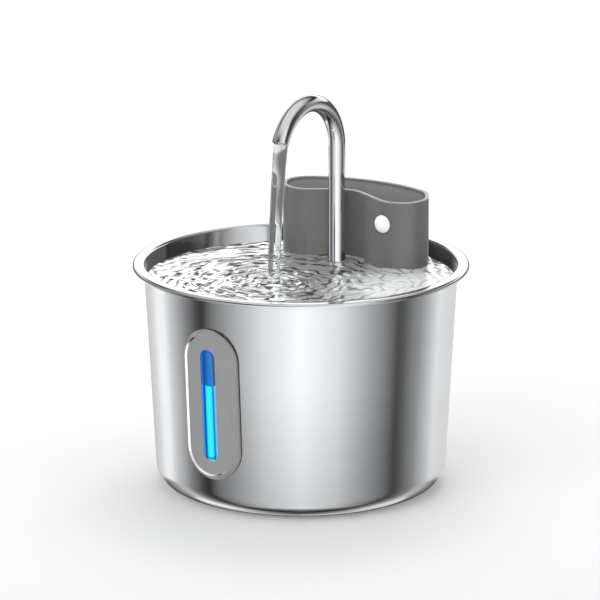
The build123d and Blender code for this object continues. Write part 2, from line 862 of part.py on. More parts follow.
def make_pump_inlet_cover():
    back = volute_front_x
    front = back - inlet_cover_thickness
    plug_radius = volute_radius - volute_wall - fit_clearance
    body = rod_along_x(front, back, volute_radius)
    body += rod_along_x(back, back + inlet_plug_depth, plug_radius)
    body -= rod_along_x(back, back + inlet_plug_depth, plug_radius - volute_wall)
    spokes = block(front, back, pump_y - inlet_outer_radius, pump_y + inlet_outer_radius,
                   pump_z - inlet_spoke / 2, pump_z + inlet_spoke / 2)
    spokes += block(front, back, pump_y - inlet_spoke / 2, pump_y + inlet_spoke / 2,
                    pump_z - inlet_outer_radius, pump_z + inlet_outer_radius)
    body -= rod_along_x(front, back, inlet_outer_radius)
    body += spokes
    body += rod_along_x(front, front + bush_length, hub_radius)
    body -= rod_along_x(front, front + bush_length, bush_radius + fit_clearance / 2)
    return body + slider_rails()


def slider_rails():
    """Two L-shaped rails in front of the inlet cover."""
    front = volute_front_x - inlet_cover_thickness
    slider_front = front - free_clearance - slider_thickness
    lip_front = slider_front - 2 * free_clearance - slider_thickness / 2
    half = slider_width / 2 + free_clearance
    rails = Part()
    for side in (-1, 1):
        inner = pump_y + side * half
        outer = pump_y + side * (half + slider_thickness)
        grip = pump_y + side * (half - slider_thickness)
        rails += block(lip_front, front, min(inner, outer), max(inner, outer), rail_low, rail_high)
        lip_back = slider_front - free_clearance
        rails += block(lip_front, lip_back, min(grip, outer), max(grip, outer), rail_low, rail_high)
    return rails


def make_flow_slider():
    back = volute_front_x - inlet_cover_thickness - free_clearance
    front = back - slider_thickness
    half = slider_width / 2
    top = slider_bottom + slider_height
    body = block(front, back, pump_y - half, pump_y + half, slider_bottom, top)
    tab = slider_tab_width / 2
    tab_front = front - 2 * slider_thickness
    return body + block(tab_front, front, pump_y - tab, pump_y + tab, top - slider_thickness, top)


def impeller_low():
    """Front end of the impeller's hub."""
    return volute_front_x - inlet_cover_thickness + bush_length + free_clearance


def make_impeller():
    chamber_back = volute_back_x - volute_back_wall
    disc_back = chamber_back - free_clearance
    disc_front = disc_back - impeller_disc
    low = impeller_low()
    body = rod_along_x(disc_front, disc_back, impeller_radius)
    body += rod_along_x(low, disc_back, impeller_hub_radius)
    half = blade_thickness / 2
    for index in range(impeller_blades):
        blade = block(low + inlet_plug_depth, disc_front, -half, half, 0, impeller_radius)
        turn = Pos(0, pump_y, pump_z) * Rot(360 / impeller_blades * index, 0, 0)
        body += turn * blade & rod_along_x(low, disc_back, impeller_radius)
    return body - rod_along_x(low, disc_back, shaft_radius + shaft_clearance)


def make_rotor_magnet():
    low = volute_back_x - volute_back_wall - free_clearance
    high = case_back_x - rotor_well_wall - free_clearance
    return rod_along_x(low, high, magnet_radius) - rod_along_x(low, high, shaft_radius + shaft_clearance)


def make_impeller_shaft():
    low = volute_front_x - inlet_cover_thickness + free_clearance
    high = case_back_x - rotor_well_wall + rear_bush_length - free_clearance
    return rod_along_x(low, high, shaft_radius)


def make_shaft_bushes():
    bore = shaft_radius + screw_thread_clearance
    front = volute_front_x - inlet_cover_thickness
    well_end = case_back_x - rotor_well_wall
    sizes = [(front, bush_length, bush_radius), (well_end, rear_bush_length, rear_bush_radius)]
    bushes = []
    for low, length, radius in sizes:
        bushes.append(rod_along_x(low, low + length, radius) - rod_along_x(low, low + length, bore))
    return bushes


def make_pump_feet():
    low = base_floor
    return [rod(x, y, low, pump_z - volute_radius, pump_foot_radius) for x, y in pump_foot_points]


def make_pump_gland():
    low = pump_z + volute_radius
    body = rod(gland_x, pump_y, low, low + gland_height, gland_radius)
    return body - rod(gland_x, pump_y, low, low + gland_height, cord_bore_radius)


def make_outlet_coupler():
    low = pump_z + volute_radius + free_clearance
    inner = spigot_radius + screw_thread_clearance
    body = rod(tube_x, tube_y, low, low + coupler_length, inner + coupler_wall)
    return body - rod(tube_x, tube_y, low, low + coupler_length, inner)


def make_foam_prefilter():
    middle_x = (foam_left + foam_right) / 2
    middle_y = (foam_front + foam_back) / 2
    plan = RectangleRounded(foam_right - foam_left, foam_back - foam_front, foam_corner)
    high = base_top - rib_height - free_clearance
    return prism(Pos(middle_x, middle_y) * plan, base_floor, high)


# ---------------------------------------------------------------- light in the base
def led_plane():
    """Plane on the slanted front-left face of the base: X level, Z outwards."""
    start = Vector(housing_left, bay_left_y)
    along = (Vector(bay_corner_x, bay_corner_y) - start).normalized()
    middle = (start + Vector(bay_corner_x, bay_corner_y)) * 0.5
    origin = Vector(middle.X, middle.Y, led_z)
    return Plane(origin=origin, x_dir=along, z_dir=Vector(along.Y, -along.X, 0))


def make_led_lens():
    plane = led_plane()
    body = plane_rod(plane, 0, 0, -base_wall, 0, led_radius)
    body += plane_rod(plane, 0, 0, -base_wall - led_flange_thickness, -base_wall, led_flange_radius)
    dome_radius = (led_radius ** 2 + led_dome ** 2) / (2 * led_dome)
    ball = plane.location * Pos(0, 0, led_dome - dome_radius) * Sphere(dome_radius)
    return body + (ball & plane_rod(plane, 0, 0, 0, dome_radius, 2 * led_radius))


def make_led_ring():
    high = -base_wall - led_flange_thickness
    low = high - led_ring_thickness
    ring = plane_rod(led_plane(), 0, 0, low, high, led_flange_radius)
    return ring - plane_rod(led_plane(), 0, 0, low, high, led_radius - fit_clearance)


def make_led_board():
    high = -base_wall - led_flange_thickness - led_ring_thickness
    body = plane_block(led_plane(), 0, 0, led_board_size, led_board_size, high - board_thickness, high)
    chip = led_radius - led_flange_thickness
    return body + plane_block(led_plane(), 0, 0, chip, chip, high, high + led_ring_thickness / 2)


# ---------------------------------------------------------------- faucet
def make_tube_sleeve():
    outer = tube_radius + tube_clearance + sleeve_wall
    high = sleeve_bottom + sleeve_height
    body = rod(tube_x, tube_y, sleeve_bottom, high, outer)
    body += rod(tube_x, tube_y, high - sleeve_flange_thickness, high, sleeve_flange_radius)
    body -= rod(tube_x, tube_y, sleeve_bottom, high, sleeve_lip_bore)
    body -= rod(tube_x, tube_y, sleeve_bottom + sleeve_lip, high, tube_radius + tube_clearance)
    for low in oring_heights():
        groove = rod(tube_x, tube_y, low, low + oring_width, outer + 1)
        body -= groove - rod(tube_x, tube_y, low, low + oring_width, outer - oring_depth)
    return body


def oring_heights():
    """Lower edges of the grooves."""
    return [sleeve_bottom + height for height in oring_offsets]


def make_sleeve_orings():
    outer = tube_radius + tube_clearance + sleeve_wall
    rings = []
    for low in oring_heights():
        ring = rod(tube_x, tube_y, low, low + oring_width, outer + tube_clearance / 2)
        rings.append(ring - rod(tube_x, tube_y, low, low + oring_width, outer - oring_depth))
    return rings


def make_faucet_tube():
    start = Vector(tube_x, tube_y, sleeve_bottom + sleeve_lip + free_clearance)
    knee = Vector(tube_x, tube_y, arch_start_z)
    forward = front_left(arch_azimuth)
    centre = knee + forward * arch_radius

    def arch_point(degrees):
        turn = math.radians(degrees)
        level = forward * (arch_radius * math.cos(turn))
        return centre - level + Vector(0, 0, arch_radius * math.sin(turn))

    path = Wire([
        Edge.make_line(start, knee),
        Edge.make_three_point_arc(knee, arch_point(arch_sweep / 2), arch_point(arch_sweep)),
    ])
    section = Plane(origin=start, z_dir=(0, 0, 1)) * (Circle(tube_radius) - Circle(tube_radius - tube_wall))
    return sweep(section, path=path)


# ---------------------------------------------------------------- all nodes
def bowl_nodes():
    """Pieces that stand with the bowl."""
    return {
        "foot_ring": make_foot_ring(),
        "bowl": make_bowl(),
        "window_frame": make_window_frame(),
        "window_lens": make_window_lens(),
        "window_gasket_outer": make_window_gasket_outer(),
        "window_gasket_inner": make_window_gasket_inner(),
        "window_backplate": make_window_backplate(),
        "window_screws": make_window_screws(),
    }


def unit_nodes():
    """Pieces of the pump and filter unit and its faucet, in the unit's own frame."""
    housing = housing_outline()
    base = base_outline()
    cotton, resin, carbon = make_filter_media(housing)
    return {
        "pump_base": make_pump_base(base),
        "base_feet": make_base_feet(),
        "base_deck": make_base_deck(base, housing),
        "deck_screws": make_deck_screws(),
        "housing_screws": make_housing_screws(),
        "housing_shell": make_housing_shell(housing),
        "tube_cradle": make_tube_cradle(housing),
        "cord_grommet": make_cord_grommet(),
        "button_bezel": make_button_bezel(),
        "light_button": make_light_button(),
        "button_gasket": make_button_gasket(),
        "tact_switch": make_tact_switch(),
        "switch_board": make_switch_board(),
        "board_screws": make_board_screws(),
        "housing_lid": make_housing_lid(housing),
        "lid_seal": make_lid_seal(housing),
        "filter_frame": make_filter_frame(housing),
        "filter_cotton": cotton,
        "filter_resin": resin,
        "filter_carbon": carbon,
        "pump_case": make_pump_case(),
        "pump_volute": make_pump_volute(),
        "pump_inlet_cover": make_pump_inlet_cover(),
        "flow_slider": make_flow_slider(),
        "impeller": make_impeller(),
        "rotor_magnet": make_rotor_magnet(),
        "impeller_shaft": make_impeller_shaft(),
        "shaft_bushes": make_shaft_bushes(),
        "pump_feet": make_pump_feet(),
        "pump_gland": make_pump_gland(),
        "outlet_coupler": make_outlet_coupler(),
        "foam_prefilter": make_foam_prefilter(),
        "led_lens": make_led_lens(),
        "led_ring": make_led_ring(),
        "led_board": make_led_board(),
        "tube_sleeve": make_tube_sleeve(),
        "sleeve_orings": make_sleeve_orings(),
        "faucet_tube": make_faucet_tube(),
    }


def write_node(name, shape, place):
    """Writes one node's solids, moved to their place."""
    solids = shape if isinstance(shape, list) else shape.solids()
    export_step(Compound(children=[place * solid for solid in solids]), f"parts/{name}.step")


def main():
    os.makedirs("parts", exist_ok=True)
    for name, shape in bowl_nodes().items():
        write_node(name, shape, Pos(0, 0))
    for name, shape in unit_nodes().items():
        write_node(name, shape, Pos(unit_x, unit_y))


main()
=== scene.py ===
"""Looks of a pet water fountain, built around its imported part.

A steel bowl with a sight window holds a lift-out pump and filter unit with a gooseneck faucet.
Lengths are metres in the part's own frame: +Z up, front -Y, right +X. Sizes that are given in
millimetres carry MM. Each class below is one sub-assembly and builds and dresses its own pieces.
"""

import json
import logging
import math
from collections.abc import Callable
from dataclasses import dataclass
from enum import Enum
from typing import ClassVar

import bmesh
import bpy
from bpy.types import Material, Node, NodeSocket, NodeTree, Object
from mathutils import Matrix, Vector, noise
from mathutils.bvhtree import BVHTree

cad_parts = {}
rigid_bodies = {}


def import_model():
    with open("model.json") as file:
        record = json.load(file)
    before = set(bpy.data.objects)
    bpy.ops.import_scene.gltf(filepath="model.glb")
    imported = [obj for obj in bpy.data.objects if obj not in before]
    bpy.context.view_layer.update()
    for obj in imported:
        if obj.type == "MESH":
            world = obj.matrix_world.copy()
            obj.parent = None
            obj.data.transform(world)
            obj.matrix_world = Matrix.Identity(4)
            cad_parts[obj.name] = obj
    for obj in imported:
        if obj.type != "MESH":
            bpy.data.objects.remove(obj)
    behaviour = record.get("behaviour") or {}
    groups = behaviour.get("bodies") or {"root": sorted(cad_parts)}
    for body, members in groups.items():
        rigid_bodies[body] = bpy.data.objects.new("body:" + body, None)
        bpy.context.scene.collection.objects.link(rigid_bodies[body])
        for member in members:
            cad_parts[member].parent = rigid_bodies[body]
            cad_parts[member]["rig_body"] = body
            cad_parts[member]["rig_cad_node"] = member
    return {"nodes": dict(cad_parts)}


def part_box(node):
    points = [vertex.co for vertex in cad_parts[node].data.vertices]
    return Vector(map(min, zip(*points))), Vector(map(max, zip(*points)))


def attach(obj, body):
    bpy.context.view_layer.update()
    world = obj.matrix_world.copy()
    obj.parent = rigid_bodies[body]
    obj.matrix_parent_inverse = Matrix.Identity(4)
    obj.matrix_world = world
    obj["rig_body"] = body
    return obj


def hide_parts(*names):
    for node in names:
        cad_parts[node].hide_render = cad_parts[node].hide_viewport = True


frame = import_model()

LOG = logging.getLogger("fountain")
MM = 0.001
TINY = 1e-6                          # points nearer than this are one
POINT = 1e-5                         # radius of a ring that closes a pole
SMOOTH_ANGLE = math.radians(32)      # sharper edges stay sharp
FLAT_ANGLE = math.radians(0.4)       # flatter edges of a solid's facets are dissolved
LANDING = Vector((-16.2 * MM, -9.2 * MM, 125.2 * MM))    # where the stream meets the water
CALM = Vector((70 * MM, -22 * MM, 125.2 * MM))           # middle of the calmer, airy water

Colour = tuple[float, float, float, float]
Pair = tuple[float, float]                     # a start and an end, or a height and a reach
Triple = tuple[float, float, float]
Patch = tuple[float, float, float, float]      # height, width, depth and layer of slow noise
Levels = tuple[tuple[int, float], ...]         # azimuth in degrees and light level
Stops = tuple[tuple[float, str], ...]          # place on a ramp and colour


# ---------------------------------------------------------------- small helpers
def linear(code: str) -> Colour:
    """Turns an sRGB hex colour into linear light.

    Args:
        code: Six hex digits, such as "8A8B8C".

    Returns:
        Linear red, green and blue, and an alpha of 1.
    """
    channels = [int(code[i:i + 2], 16) / 255 for i in (0, 2, 4)]
    light = [c / 12.92 if c <= 0.04045 else ((c + 0.055) / 1.055) ** 2.4 for c in channels]
    return (*light, 1.0)


def add_node(tree: NodeTree, kind: str, settings: dict | None = None) -> Node:
    """Adds a shader node with its settings and links. A Mix node mixes colours.

    Args:
        tree: Node tree that gets the node.
        kind: Blender's type name of the node, without "ShaderNode" in front.
        settings: By an input's name or number, its value, the socket that feeds it, or the node
            whose first output in use feeds it. By an attribute's name, its value. By "stops",
            the places and colours of a ramp.

    Returns:
        The new node.
    """
    node = tree.nodes.new("ShaderNode" + kind)
    if kind == "Mix":
        node.data_type = "RGBA"
    for key, value in (settings or {}).items():
        if isinstance(value, Node):
            value = next(socket for socket in value.outputs if socket.enabled)
        if key == "stops":
            ramp = node.color_ramp
            while len(ramp.elements) < len(value):
                ramp.elements.new(1.0)
            for element, (place, colour) in zip(ramp.elements, value):
                element.position = place
                element.color = colour
        elif isinstance(value, NodeSocket):
            tree.links.new(value, node.inputs[key])
        elif isinstance(key, int) or key in node.inputs:
            node.inputs[key].default_value = value
        else:
            setattr(node, key, value)
    return node


def grey(level: float) -> Colour:
    """Returns a neutral colour of one linear level."""
    return (level, level, level, 1.0)


def deselect() -> None:
    """Leaves edit mode and selects nothing."""
    if bpy.context.object and bpy.context.object.mode != "OBJECT":
        bpy.ops.object.mode_set(mode="OBJECT")
    bpy.ops.object.select_all(action="DESELECT")


def pick(obj: Object) -> None:
    """Makes one object the only selected and active one.

    Args:
        obj: Object to select.
    """
    deselect()
    obj.select_set(True)
    bpy.context.view_layer.objects.active = obj


def open_all(obj: Object) -> None:
    """Opens a mesh in edit mode with all of it selected.

    Args:
        obj: Object to open.
    """
    pick(obj)
    bpy.ops.object.mode_set(mode="EDIT")
    bpy.ops.mesh.select_all(action="SELECT")


def select_where(obj: Object, mode: str, wanted: Callable[[Vector], bool]) -> None:
    """Selects the elements of the mesh in edit mode whose centre passes a test.

    Args:
        obj: Object in edit mode.
        mode: "VERT" or "FACE".
        wanted: Test of an element's centre.
    """
    bpy.ops.mesh.select_mode(type=mode)
    bpy.ops.mesh.select_all(action="DESELECT")
    mesh = bmesh.from_edit_mesh(obj.data)
    for element in mesh.verts if mode == "VERT" else mesh.faces:
        if mode == "VERT":
            centre = element.co
        else:
            centre = sum((v.co for v in element.verts), Vector()) / len(element.verts)
        if wanted(centre):
            element.select_set(True)
    mesh.select_flush_mode()
    bmesh.update_edit_mesh(obj.data)


def settle(obj: Object, angle: float = SMOOTH_ANGLE) -> Object:
    """Puts a finished piece's place into its mesh and shades it smooth up to an angle.

    Args:
        obj: Piece to finish.
        angle: Edges sharper than this stay sharp.

    Returns:
        The same object.
    """
    pick(obj)
    bpy.ops.object.transform_apply(location=True, rotation=True, scale=True)
    bpy.ops.object.shade_smooth_by_angle(angle=angle)
    return obj


def recalculate(obj: Object, merge: float = TINY) -> None:
    """Merges doubled points and points all faces outwards.

    Args:
        obj: Mesh object to mend.
        merge: Points nearer than this become one.
    """
    open_all(obj)
    bpy.ops.mesh.remove_doubles(threshold=merge)
    bpy.ops.mesh.normals_make_consistent(inside=False)
    bpy.ops.object.mode_set(mode="OBJECT")


def apply_modifier(obj: Object, kind: str, **settings: object) -> None:
    """Adds a modifier to an object and applies it.

    Args:
        obj: Object to change.
        kind: Blender's type name of the modifier.
        settings: Attributes of the modifier.
    """
    pick(obj)
    modifier = obj.modifiers.new(kind.lower(), kind)
    for key, value in settings.items():
        setattr(modifier, key, value)
    bpy.ops.object.modifier_apply(modifier=modifier.name)


def cut(piece: Object, cutter: Object) -> None:
    """Cuts a cutter's shape out of a piece and removes the cutter."""
    apply_modifier(piece, "BOOLEAN", operation="DIFFERENCE", object=cutter, solver="EXACT")
    bpy.data.objects.remove(cutter)


def new_circle(name: str, points: int, radius: float, centre: Vector, fill: str = "NOTHING") -> Object:
    """Adds a level circle with its place in its mesh.

    Args:
        name: Name of the new object.
        points: Points on the circle.
        radius: Radius of the circle.
        centre: Middle of the circle.
        fill: "NGON" for a disc, "NOTHING" for a bare ring.

    Returns:
        The new mesh object.
    """
    deselect()
    bpy.ops.mesh.primitive_circle_add(vertices=points, radius=radius, location=centre, fill_type=fill)
    circle = bpy.context.object
    circle.name = name
    bpy.ops.object.transform_apply(location=True, rotation=True, scale=True)
    return circle


def rounded_profile(corners: list[Triple], steps: int) -> list[Vector]:
    """Rounds the corners of an open profile.

    Args:
        corners: Points as (radius, height, rounding).
        steps: Segments in each rounding.

    Returns:
        Points of (radius, height) from first to last.
    """
    points = []
    for index, (x, y, rounding) in enumerate(corners):
        here = Vector((x, y))
        if rounding <= 0 or index in (0, len(corners) - 1):
            points.append(here)
            continue
        back = (Vector(corners[index - 1][:2]) - here).normalized()
        ahead = (Vector(corners[index + 1][:2]) - here).normalized()
        half = back.angle(ahead) / 2
        reach = rounding / math.tan(half)
        centre = here + (back + ahead).normalized() * rounding / math.sin(half)
        start = here + back * reach - centre
        turn = start.angle_signed(here + ahead * reach - centre)
        for step in range(steps + 1):
            share = turn * step / steps
            arm = Vector((start.x * math.cos(share) + start.y * math.sin(share),
                          start.y * math.cos(share) - start.x * math.sin(share)))
            points.append(centre + arm)
    return points


def stacked_rings(name: str, rings: list[tuple[float, Vector]], segments: int) -> Object:
    """Extrudes a circle ring by ring, as on a lathe or along a falling stream.

    Args:
        name: Name of the new object.
        rings: Radius and centre of each level ring; a radius of 0 closes an end in a point.
        segments: Points in each ring.

    Returns:
        The new mesh object.
    """
    last_radius = max(rings[0][0], POINT)
    last = rings[0][1]
    obj = new_circle(name, segments, last_radius, last)
    open_all(obj)
    for radius, centre in rings[1:]:
        radius = max(radius, POINT)
        bpy.ops.mesh.extrude_region_move(TRANSFORM_OT_translate={"value": centre - last})
        factor = radius / last_radius
        bpy.ops.transform.resize(value=(factor, factor, 1), center_override=centre)
        last_radius = radius
        last = centre
    bpy.ops.object.mode_set(mode="OBJECT")
    recalculate(obj, merge=3 * POINT)
    return obj


def refined_copy(node: str, name: str, edge: float) -> Object:
    """Copies a part's solid as one smooth, welded mesh with softened edges.

    Args:
        node: Name of the solid's node.
        name: Name of the new piece.
        edge: Width of the softened edges, or 0 for none.

    Returns:
        The new piece. It stands for the node.
    """
    pick(frame["nodes"][node])
    bpy.ops.object.duplicate()
    piece = bpy.context.object
    piece.name = name
    piece.parent = None
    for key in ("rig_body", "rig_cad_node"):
        if key in piece:
            del piece[key]
    open_all(piece)
    bpy.ops.mesh.remove_doubles(threshold=TINY)
    bpy.ops.mesh.dissolve_limited(angle_limit=FLAT_ANGLE)
    bpy.ops.object.mode_set(mode="OBJECT")
    bpy.ops.mesh.customdata_custom_splitnormals_clear()
    if edge > 0:
        apply_modifier(piece, "BEVEL", width=edge, segments=2, limit_method="ANGLE",
                       angle_limit=SMOOTH_ANGLE, use_clamp_overlap=True)
    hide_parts(node)
    return piece


def carried_by(piece: Object, body: str, *finishes: "Finish") -> None:
    """Dresses a piece in its finishes and lets it ride on a body.

    Args:
        piece: Finished piece.
        body: Name of the body.
        finishes: Its finishes, the main one first.
    """
    if piece.data.materials:
        piece.data.materials.clear()
    for finish in finishes:
        piece.data.materials.append(finish.material())
    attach(piece, body)
    LOG.info("%s: %d faces, on %s, %s", piece.name, len(piece.data.polygons), body, finishes[0].name)


def facing(azimuth: float) -> Vector:
    """Returns the level direction at an angle to the left of the front."""
    return Vector((-math.sin(azimuth), -math.cos(azimuth), 0))


def dress(finish: "Finish", *nodes: str) -> None:
    """Gives a finish to solids of the part that are shown as they are.

    Args:
        finish: Finish of the solids.
        nodes: Names of the solids' nodes.
    """
    for node in nodes:
        obj = frame["nodes"][node]
        if not obj.material_slots:
            obj.data.materials.append(None)
        for material_slot in obj.material_slots:
            material_slot.material = finish.material()
        LOG.info("%s: solid of the part, %s", node, finish.name)


# ---------------------------------------------------------------- finishes
class Slot(Enum):
    """Material slots of the part's record."""

    BOWL_STEEL = "bowl_steel"
    TUBE_STEEL = "tube_steel"
    HOUSING = "housing_plastic"
    LID = "lid_plastic"
    FRAME = "frame_plastic"
    INNER = "inner_plastic"
    SIGHT = "sight_plastic"
    BUTTON = "button_white"
    BLACK = "black_plastic"
    DARK_SILICONE = "dark_silicone"
    CLEAR_SILICONE = "clear_silicone"
    PUMP = "pump_resin"
    IMPELLER = "impeller_plastic"
    MAGNET = "magnet_ferrite"
    SHAFT = "shaft_ceramic"
    SCREW = "screw_steel"
    BOARD = "board_green"
    LED = "led_plastic"
    FOAM = "foam_blue"
    COTTON = "cotton_white"
    RESIN = "resin_amber"
    CARBON = "carbon_black"


@dataclass(frozen=True)
class Finish:
    """A real material and how its surface was made."""

    name: str
    slot: Slot

    def material(self) -> Material:
        """Returns the Blender material, which is made on first use."""
        material = bpy.data.materials.get(self.name)
        if material is None:
            material = bpy.data.materials.new(self.name)
            material.use_nodes = True
            tree = material.node_tree
            tree.nodes.clear()
            place = add_node(tree, "TexCoord").outputs["Object"]
            add_node(tree, "OutputMaterial", {"Surface": self.shader(tree, place)})
        return material

    def shader(self, tree: NodeTree, place: NodeSocket) -> NodeSocket:
        """Builds the shader.

        Args:
            tree: Node tree of the material.
            place: Socket that gives the place on the piece.

        Returns:
            The shader's output socket.
        """
        raise NotImplementedError

    def surface(self, tree: NodeTree, relief: Node | NodeSocket, strength: float, depth: float,
                settings: dict, **bump_settings: bool) -> NodeSocket:
        """Ends a shader: the relief of a pattern, and the surface that carries it.

        Args:
            tree: Node tree of the material.
            relief: Pattern of the relief.
            strength: Share of the relief that shows.
            depth: Depth of the relief.
            settings: Settings and links of the surface.
            bump_settings: Other settings of the relief.

        Returns:
            The shader's output socket.
        """
        bump = add_node(tree, "Bump", bump_settings | {
            "Strength": strength, "Distance": depth, "Height": relief})
        return add_node(tree, "BsdfPrincipled", settings | {"Normal": bump}).outputs[0]


@dataclass(frozen=True)
class StainlessSteel(Finish):
    """Stainless steel, polished or brushed.

    The eye gets long soft highlights, drawn out across fine brush lines, and faint cloudy
    differences of polish. The lines are really about 0.1 mm apart; here they are as coarse as
    the pitch says, because finer ones would not show.
    """

    colour: str
    shade: str
    smooth: float
    rough: float
    pitch: float
    line: float
    depth: float
    upright: bool = False

    def shader(self, tree: NodeTree, place: NodeSocket) -> NodeSocket:
        """Builds the metal.

        Args:
            tree: Node tree of the material.
            place: Socket that gives the place on the piece.

        Returns:
            The shader's output socket.
        """
        along, across = 1 / self.line, 1 / self.pitch
        scale = (across, across, along) if self.upright else (along, along, across)
        brushed = add_node(tree, "Mapping", {"Scale": scale, "Vector": place})
        lines = add_node(tree, "TexNoise", {
            "Scale": 1.0, "Detail": 4.0, "Roughness": 0.65, "Vector": brushed})
        # clouds of polish about 55 mm wide
        clouds = add_node(tree, "TexNoise", {"Scale": 18.0, "Detail": 3.0, "Vector": place})
        blend = add_node(tree, "Math", {"operation": "MULTIPLY", 0: lines, 1: clouds})
        rough = add_node(tree, "MapRange", {
            "From Min": 0.1, "From Max": 0.45, "To Min": self.smooth, "To Max": self.rough, "Value": blend})
        tint = add_node(tree, "Mix", {0: blend, 6: linear(self.colour), 7: linear(self.shade)})
        return self.surface(tree, lines, 0.35, self.depth, {
            "Metallic": 1.0, "Base Color": tint, "Roughness": rough})


@dataclass(frozen=True)
class MouldedPlastic(Finish):
    """Injection-moulded plastic with a spark-eroded mould texture.

    The eye gets a satin sheen with a very fine even grain, and slow, faint changes of tone where
    the melt flowed. The grain is really 0.05 to 0.1 mm and is drawn coarser so that it shows.
    """

    colour: str
    shade: str
    grain: float
    depth: float
    roughness: float
    specular: float = 0.5
    glow: float = 0.0
    sheen: float = 0.0
    rim_height: float = 0.0
    rim_highlight_colour: str = ""
    rim_highlight_fade: Pair = (0.6 * MM, 0.2 * MM)
    spread: float = 0.05

    def shader(self, tree: NodeTree, place: NodeSocket) -> NodeSocket:
        """Builds the plastic.

        Args:
            tree: Node tree of the material.
            place: Socket that gives the place on the piece.

        Returns:
            The shader's output socket.
        """
        grain = add_node(tree, "TexNoise", {
            "Scale": 1 / self.grain, "Detail": 2.0, "Roughness": 0.7, "Vector": place})
        # flow marks about 45 mm wide
        flow = add_node(tree, "TexNoise", {
            "Scale": 22.0, "Detail": 2.0, "Distortion": 0.8, "Vector": place})
        toned = add_node(tree, "MapRange", {"From Min": 0.3, "From Max": 0.7, "Value": flow})
        tint = add_node(tree, "Mix", {0: toned, 6: linear(self.colour), 7: linear(self.shade)})
        # painted highlight: the top 0.2 to 0.6 mm below the rim height turns a lighter grey, standing in
        # for the light that the rounded rim catches
        if self.rim_highlight_colour:
            height = add_node(tree, "SeparateXYZ", {0: place})
            painted_rim_highlight = add_node(tree, "MapRange", {
                "From Min": self.rim_height - self.rim_highlight_fade[0],
                "From Max": self.rim_height - self.rim_highlight_fade[1], "Value": height.outputs["Z"]})
            tint = add_node(tree, "Mix", {0: painted_rim_highlight, 6: tint, 7: linear(self.rim_highlight_colour)})
        rough = add_node(tree, "MapRange", {
            "From Min": 0.3, "From Max": 0.7, "To Min": self.roughness - self.spread,
            "To Max": self.roughness + self.spread, "Value": grain})
        settings = {"IOR": 1.5, "Specular IOR Level": self.specular, "Sheen Weight": self.sheen,
                    "Sheen Roughness": 0.35}
        if self.glow > 0:
            settings |= {"Emission Color": linear(self.colour), "Emission Strength": self.glow}
        return self.surface(tree, grain, 0.5, self.depth, settings | {
            "Base Color": tint, "Roughness": rough})


@dataclass(frozen=True)
class CellularFilling(Finish):
    """Filling made of cells, beads or granules, from sponge to activated carbon.

    The eye gets rounded or broken lumps with dark gaps between them, each lump a little lighter
    or darker than the next. The size is that of the real cells or beads, at least 0.8 mm.
    """

    colour: str
    gap_shade_colour: str
    cell: float
    depth: float
    roughness: float
    sheen: float = 0.0

    def shader(self, tree: NodeTree, place: NodeSocket) -> NodeSocket:
        """Builds the filling.

        Args:
            tree: Node tree of the material.
            place: Socket that gives the place on the piece.

        Returns:
            The shader's output socket.
        """
        cells = add_node(tree, "TexVoronoi", {"Scale": 1 / self.cell, "Vector": place})
        gaps = add_node(tree, "MapRange", {"From Min": 0.25, "From Max": 0.75, "Value": cells})
        lumps = add_node(tree, "SeparateColor", {0: cells.outputs["Color"]})
        tone = add_node(tree, "MapRange", {"To Min": 0.0, "To Max": 0.35, "Value": lumps})
        # painted shade: the colour darkens towards each lump's edge and into the gaps between lumps; the
        # lumps' own tone also differs at random
        share = add_node(tree, "Math", {"operation": "ADD", "use_clamp": True, 0: gaps, 1: tone})
        tint = add_node(tree, "Mix", {0: share, 6: linear(self.colour), 7: linear(self.gap_shade_colour)})
        return self.surface(tree, cells, 0.8, self.depth, {
            "Roughness": self.roughness, "Sheen Weight": self.sheen, "Base Color": tint}, invert=True)


@dataclass(frozen=True)
class FibreWadding(Finish):
    """Needled filter cotton.

    The eye gets a matt white mat of crossing fibres with small needle pits.
    """

    colour: str
    shade: str
    fibre: float
    depth: float

    def shader(self, tree: NodeTree, place: NodeSocket) -> NodeSocket:
        """Builds the wadding.

        Args:
            tree: Node tree of the material.
            place: Socket that gives the place on the piece.

        Returns:
            The shader's output socket.
        """
        fibres = add_node(tree, "TexWave", {
            "Scale": 1 / self.fibre / 20, "Distortion": 24.0, "Detail": 4.0, "Detail Scale": 3.0,
            "Vector": place})
        pits = add_node(tree, "TexVoronoi", {"Scale": 1 / self.fibre / 8, "Vector": place})
        height = add_node(tree, "Math", {"operation": "MULTIPLY", 0: fibres.outputs["Fac"], 1: pits})
        # painted shade: the mat is darker where its relief is low, in the needle pits and between the
        # fibres
        tint = add_node(tree, "Mix", {0: height, 6: linear(self.shade), 7: linear(self.colour)})
        return self.surface(tree, height, 0.7, self.depth, {
            "Roughness": 0.95, "Sheen Weight": 0.4, "Base Color": tint})


@dataclass(frozen=True)
class MouldedSilicone(Finish):
    """Compression-moulded silicone rubber, dark or translucent.

    The eye gets a dull, slightly soft surface with a little dust and a broad weak highlight.
    """

    colour: str
    dust: str
    roughness: float
    see_through: float = 0.0

    def shader(self, tree: NodeTree, place: NodeSocket) -> NodeSocket:
        """Builds the rubber.

        Args:
            tree: Node tree of the material.
            place: Socket that gives the place on the piece.

        Returns:
            The shader's output socket.
        """
        # dust of about 0.7 mm, coarser than real
        specks = add_node(tree, "TexNoise", {"Scale": 1400.0, "Detail": 3.0, "Vector": place})
        dusty = add_node(tree, "MapRange", {
            "From Min": 0.55, "From Max": 0.8, "To Max": 0.35, "Value": specks})
        tint = add_node(tree, "Mix", {0: dusty, 6: linear(self.colour), 7: linear(self.dust)})
        return self.surface(tree, specks, 0.3, 0.03 * MM, {
            "Roughness": self.roughness, "IOR": 1.41, "Transmission Weight": self.see_through,
            "Base Color": tint})


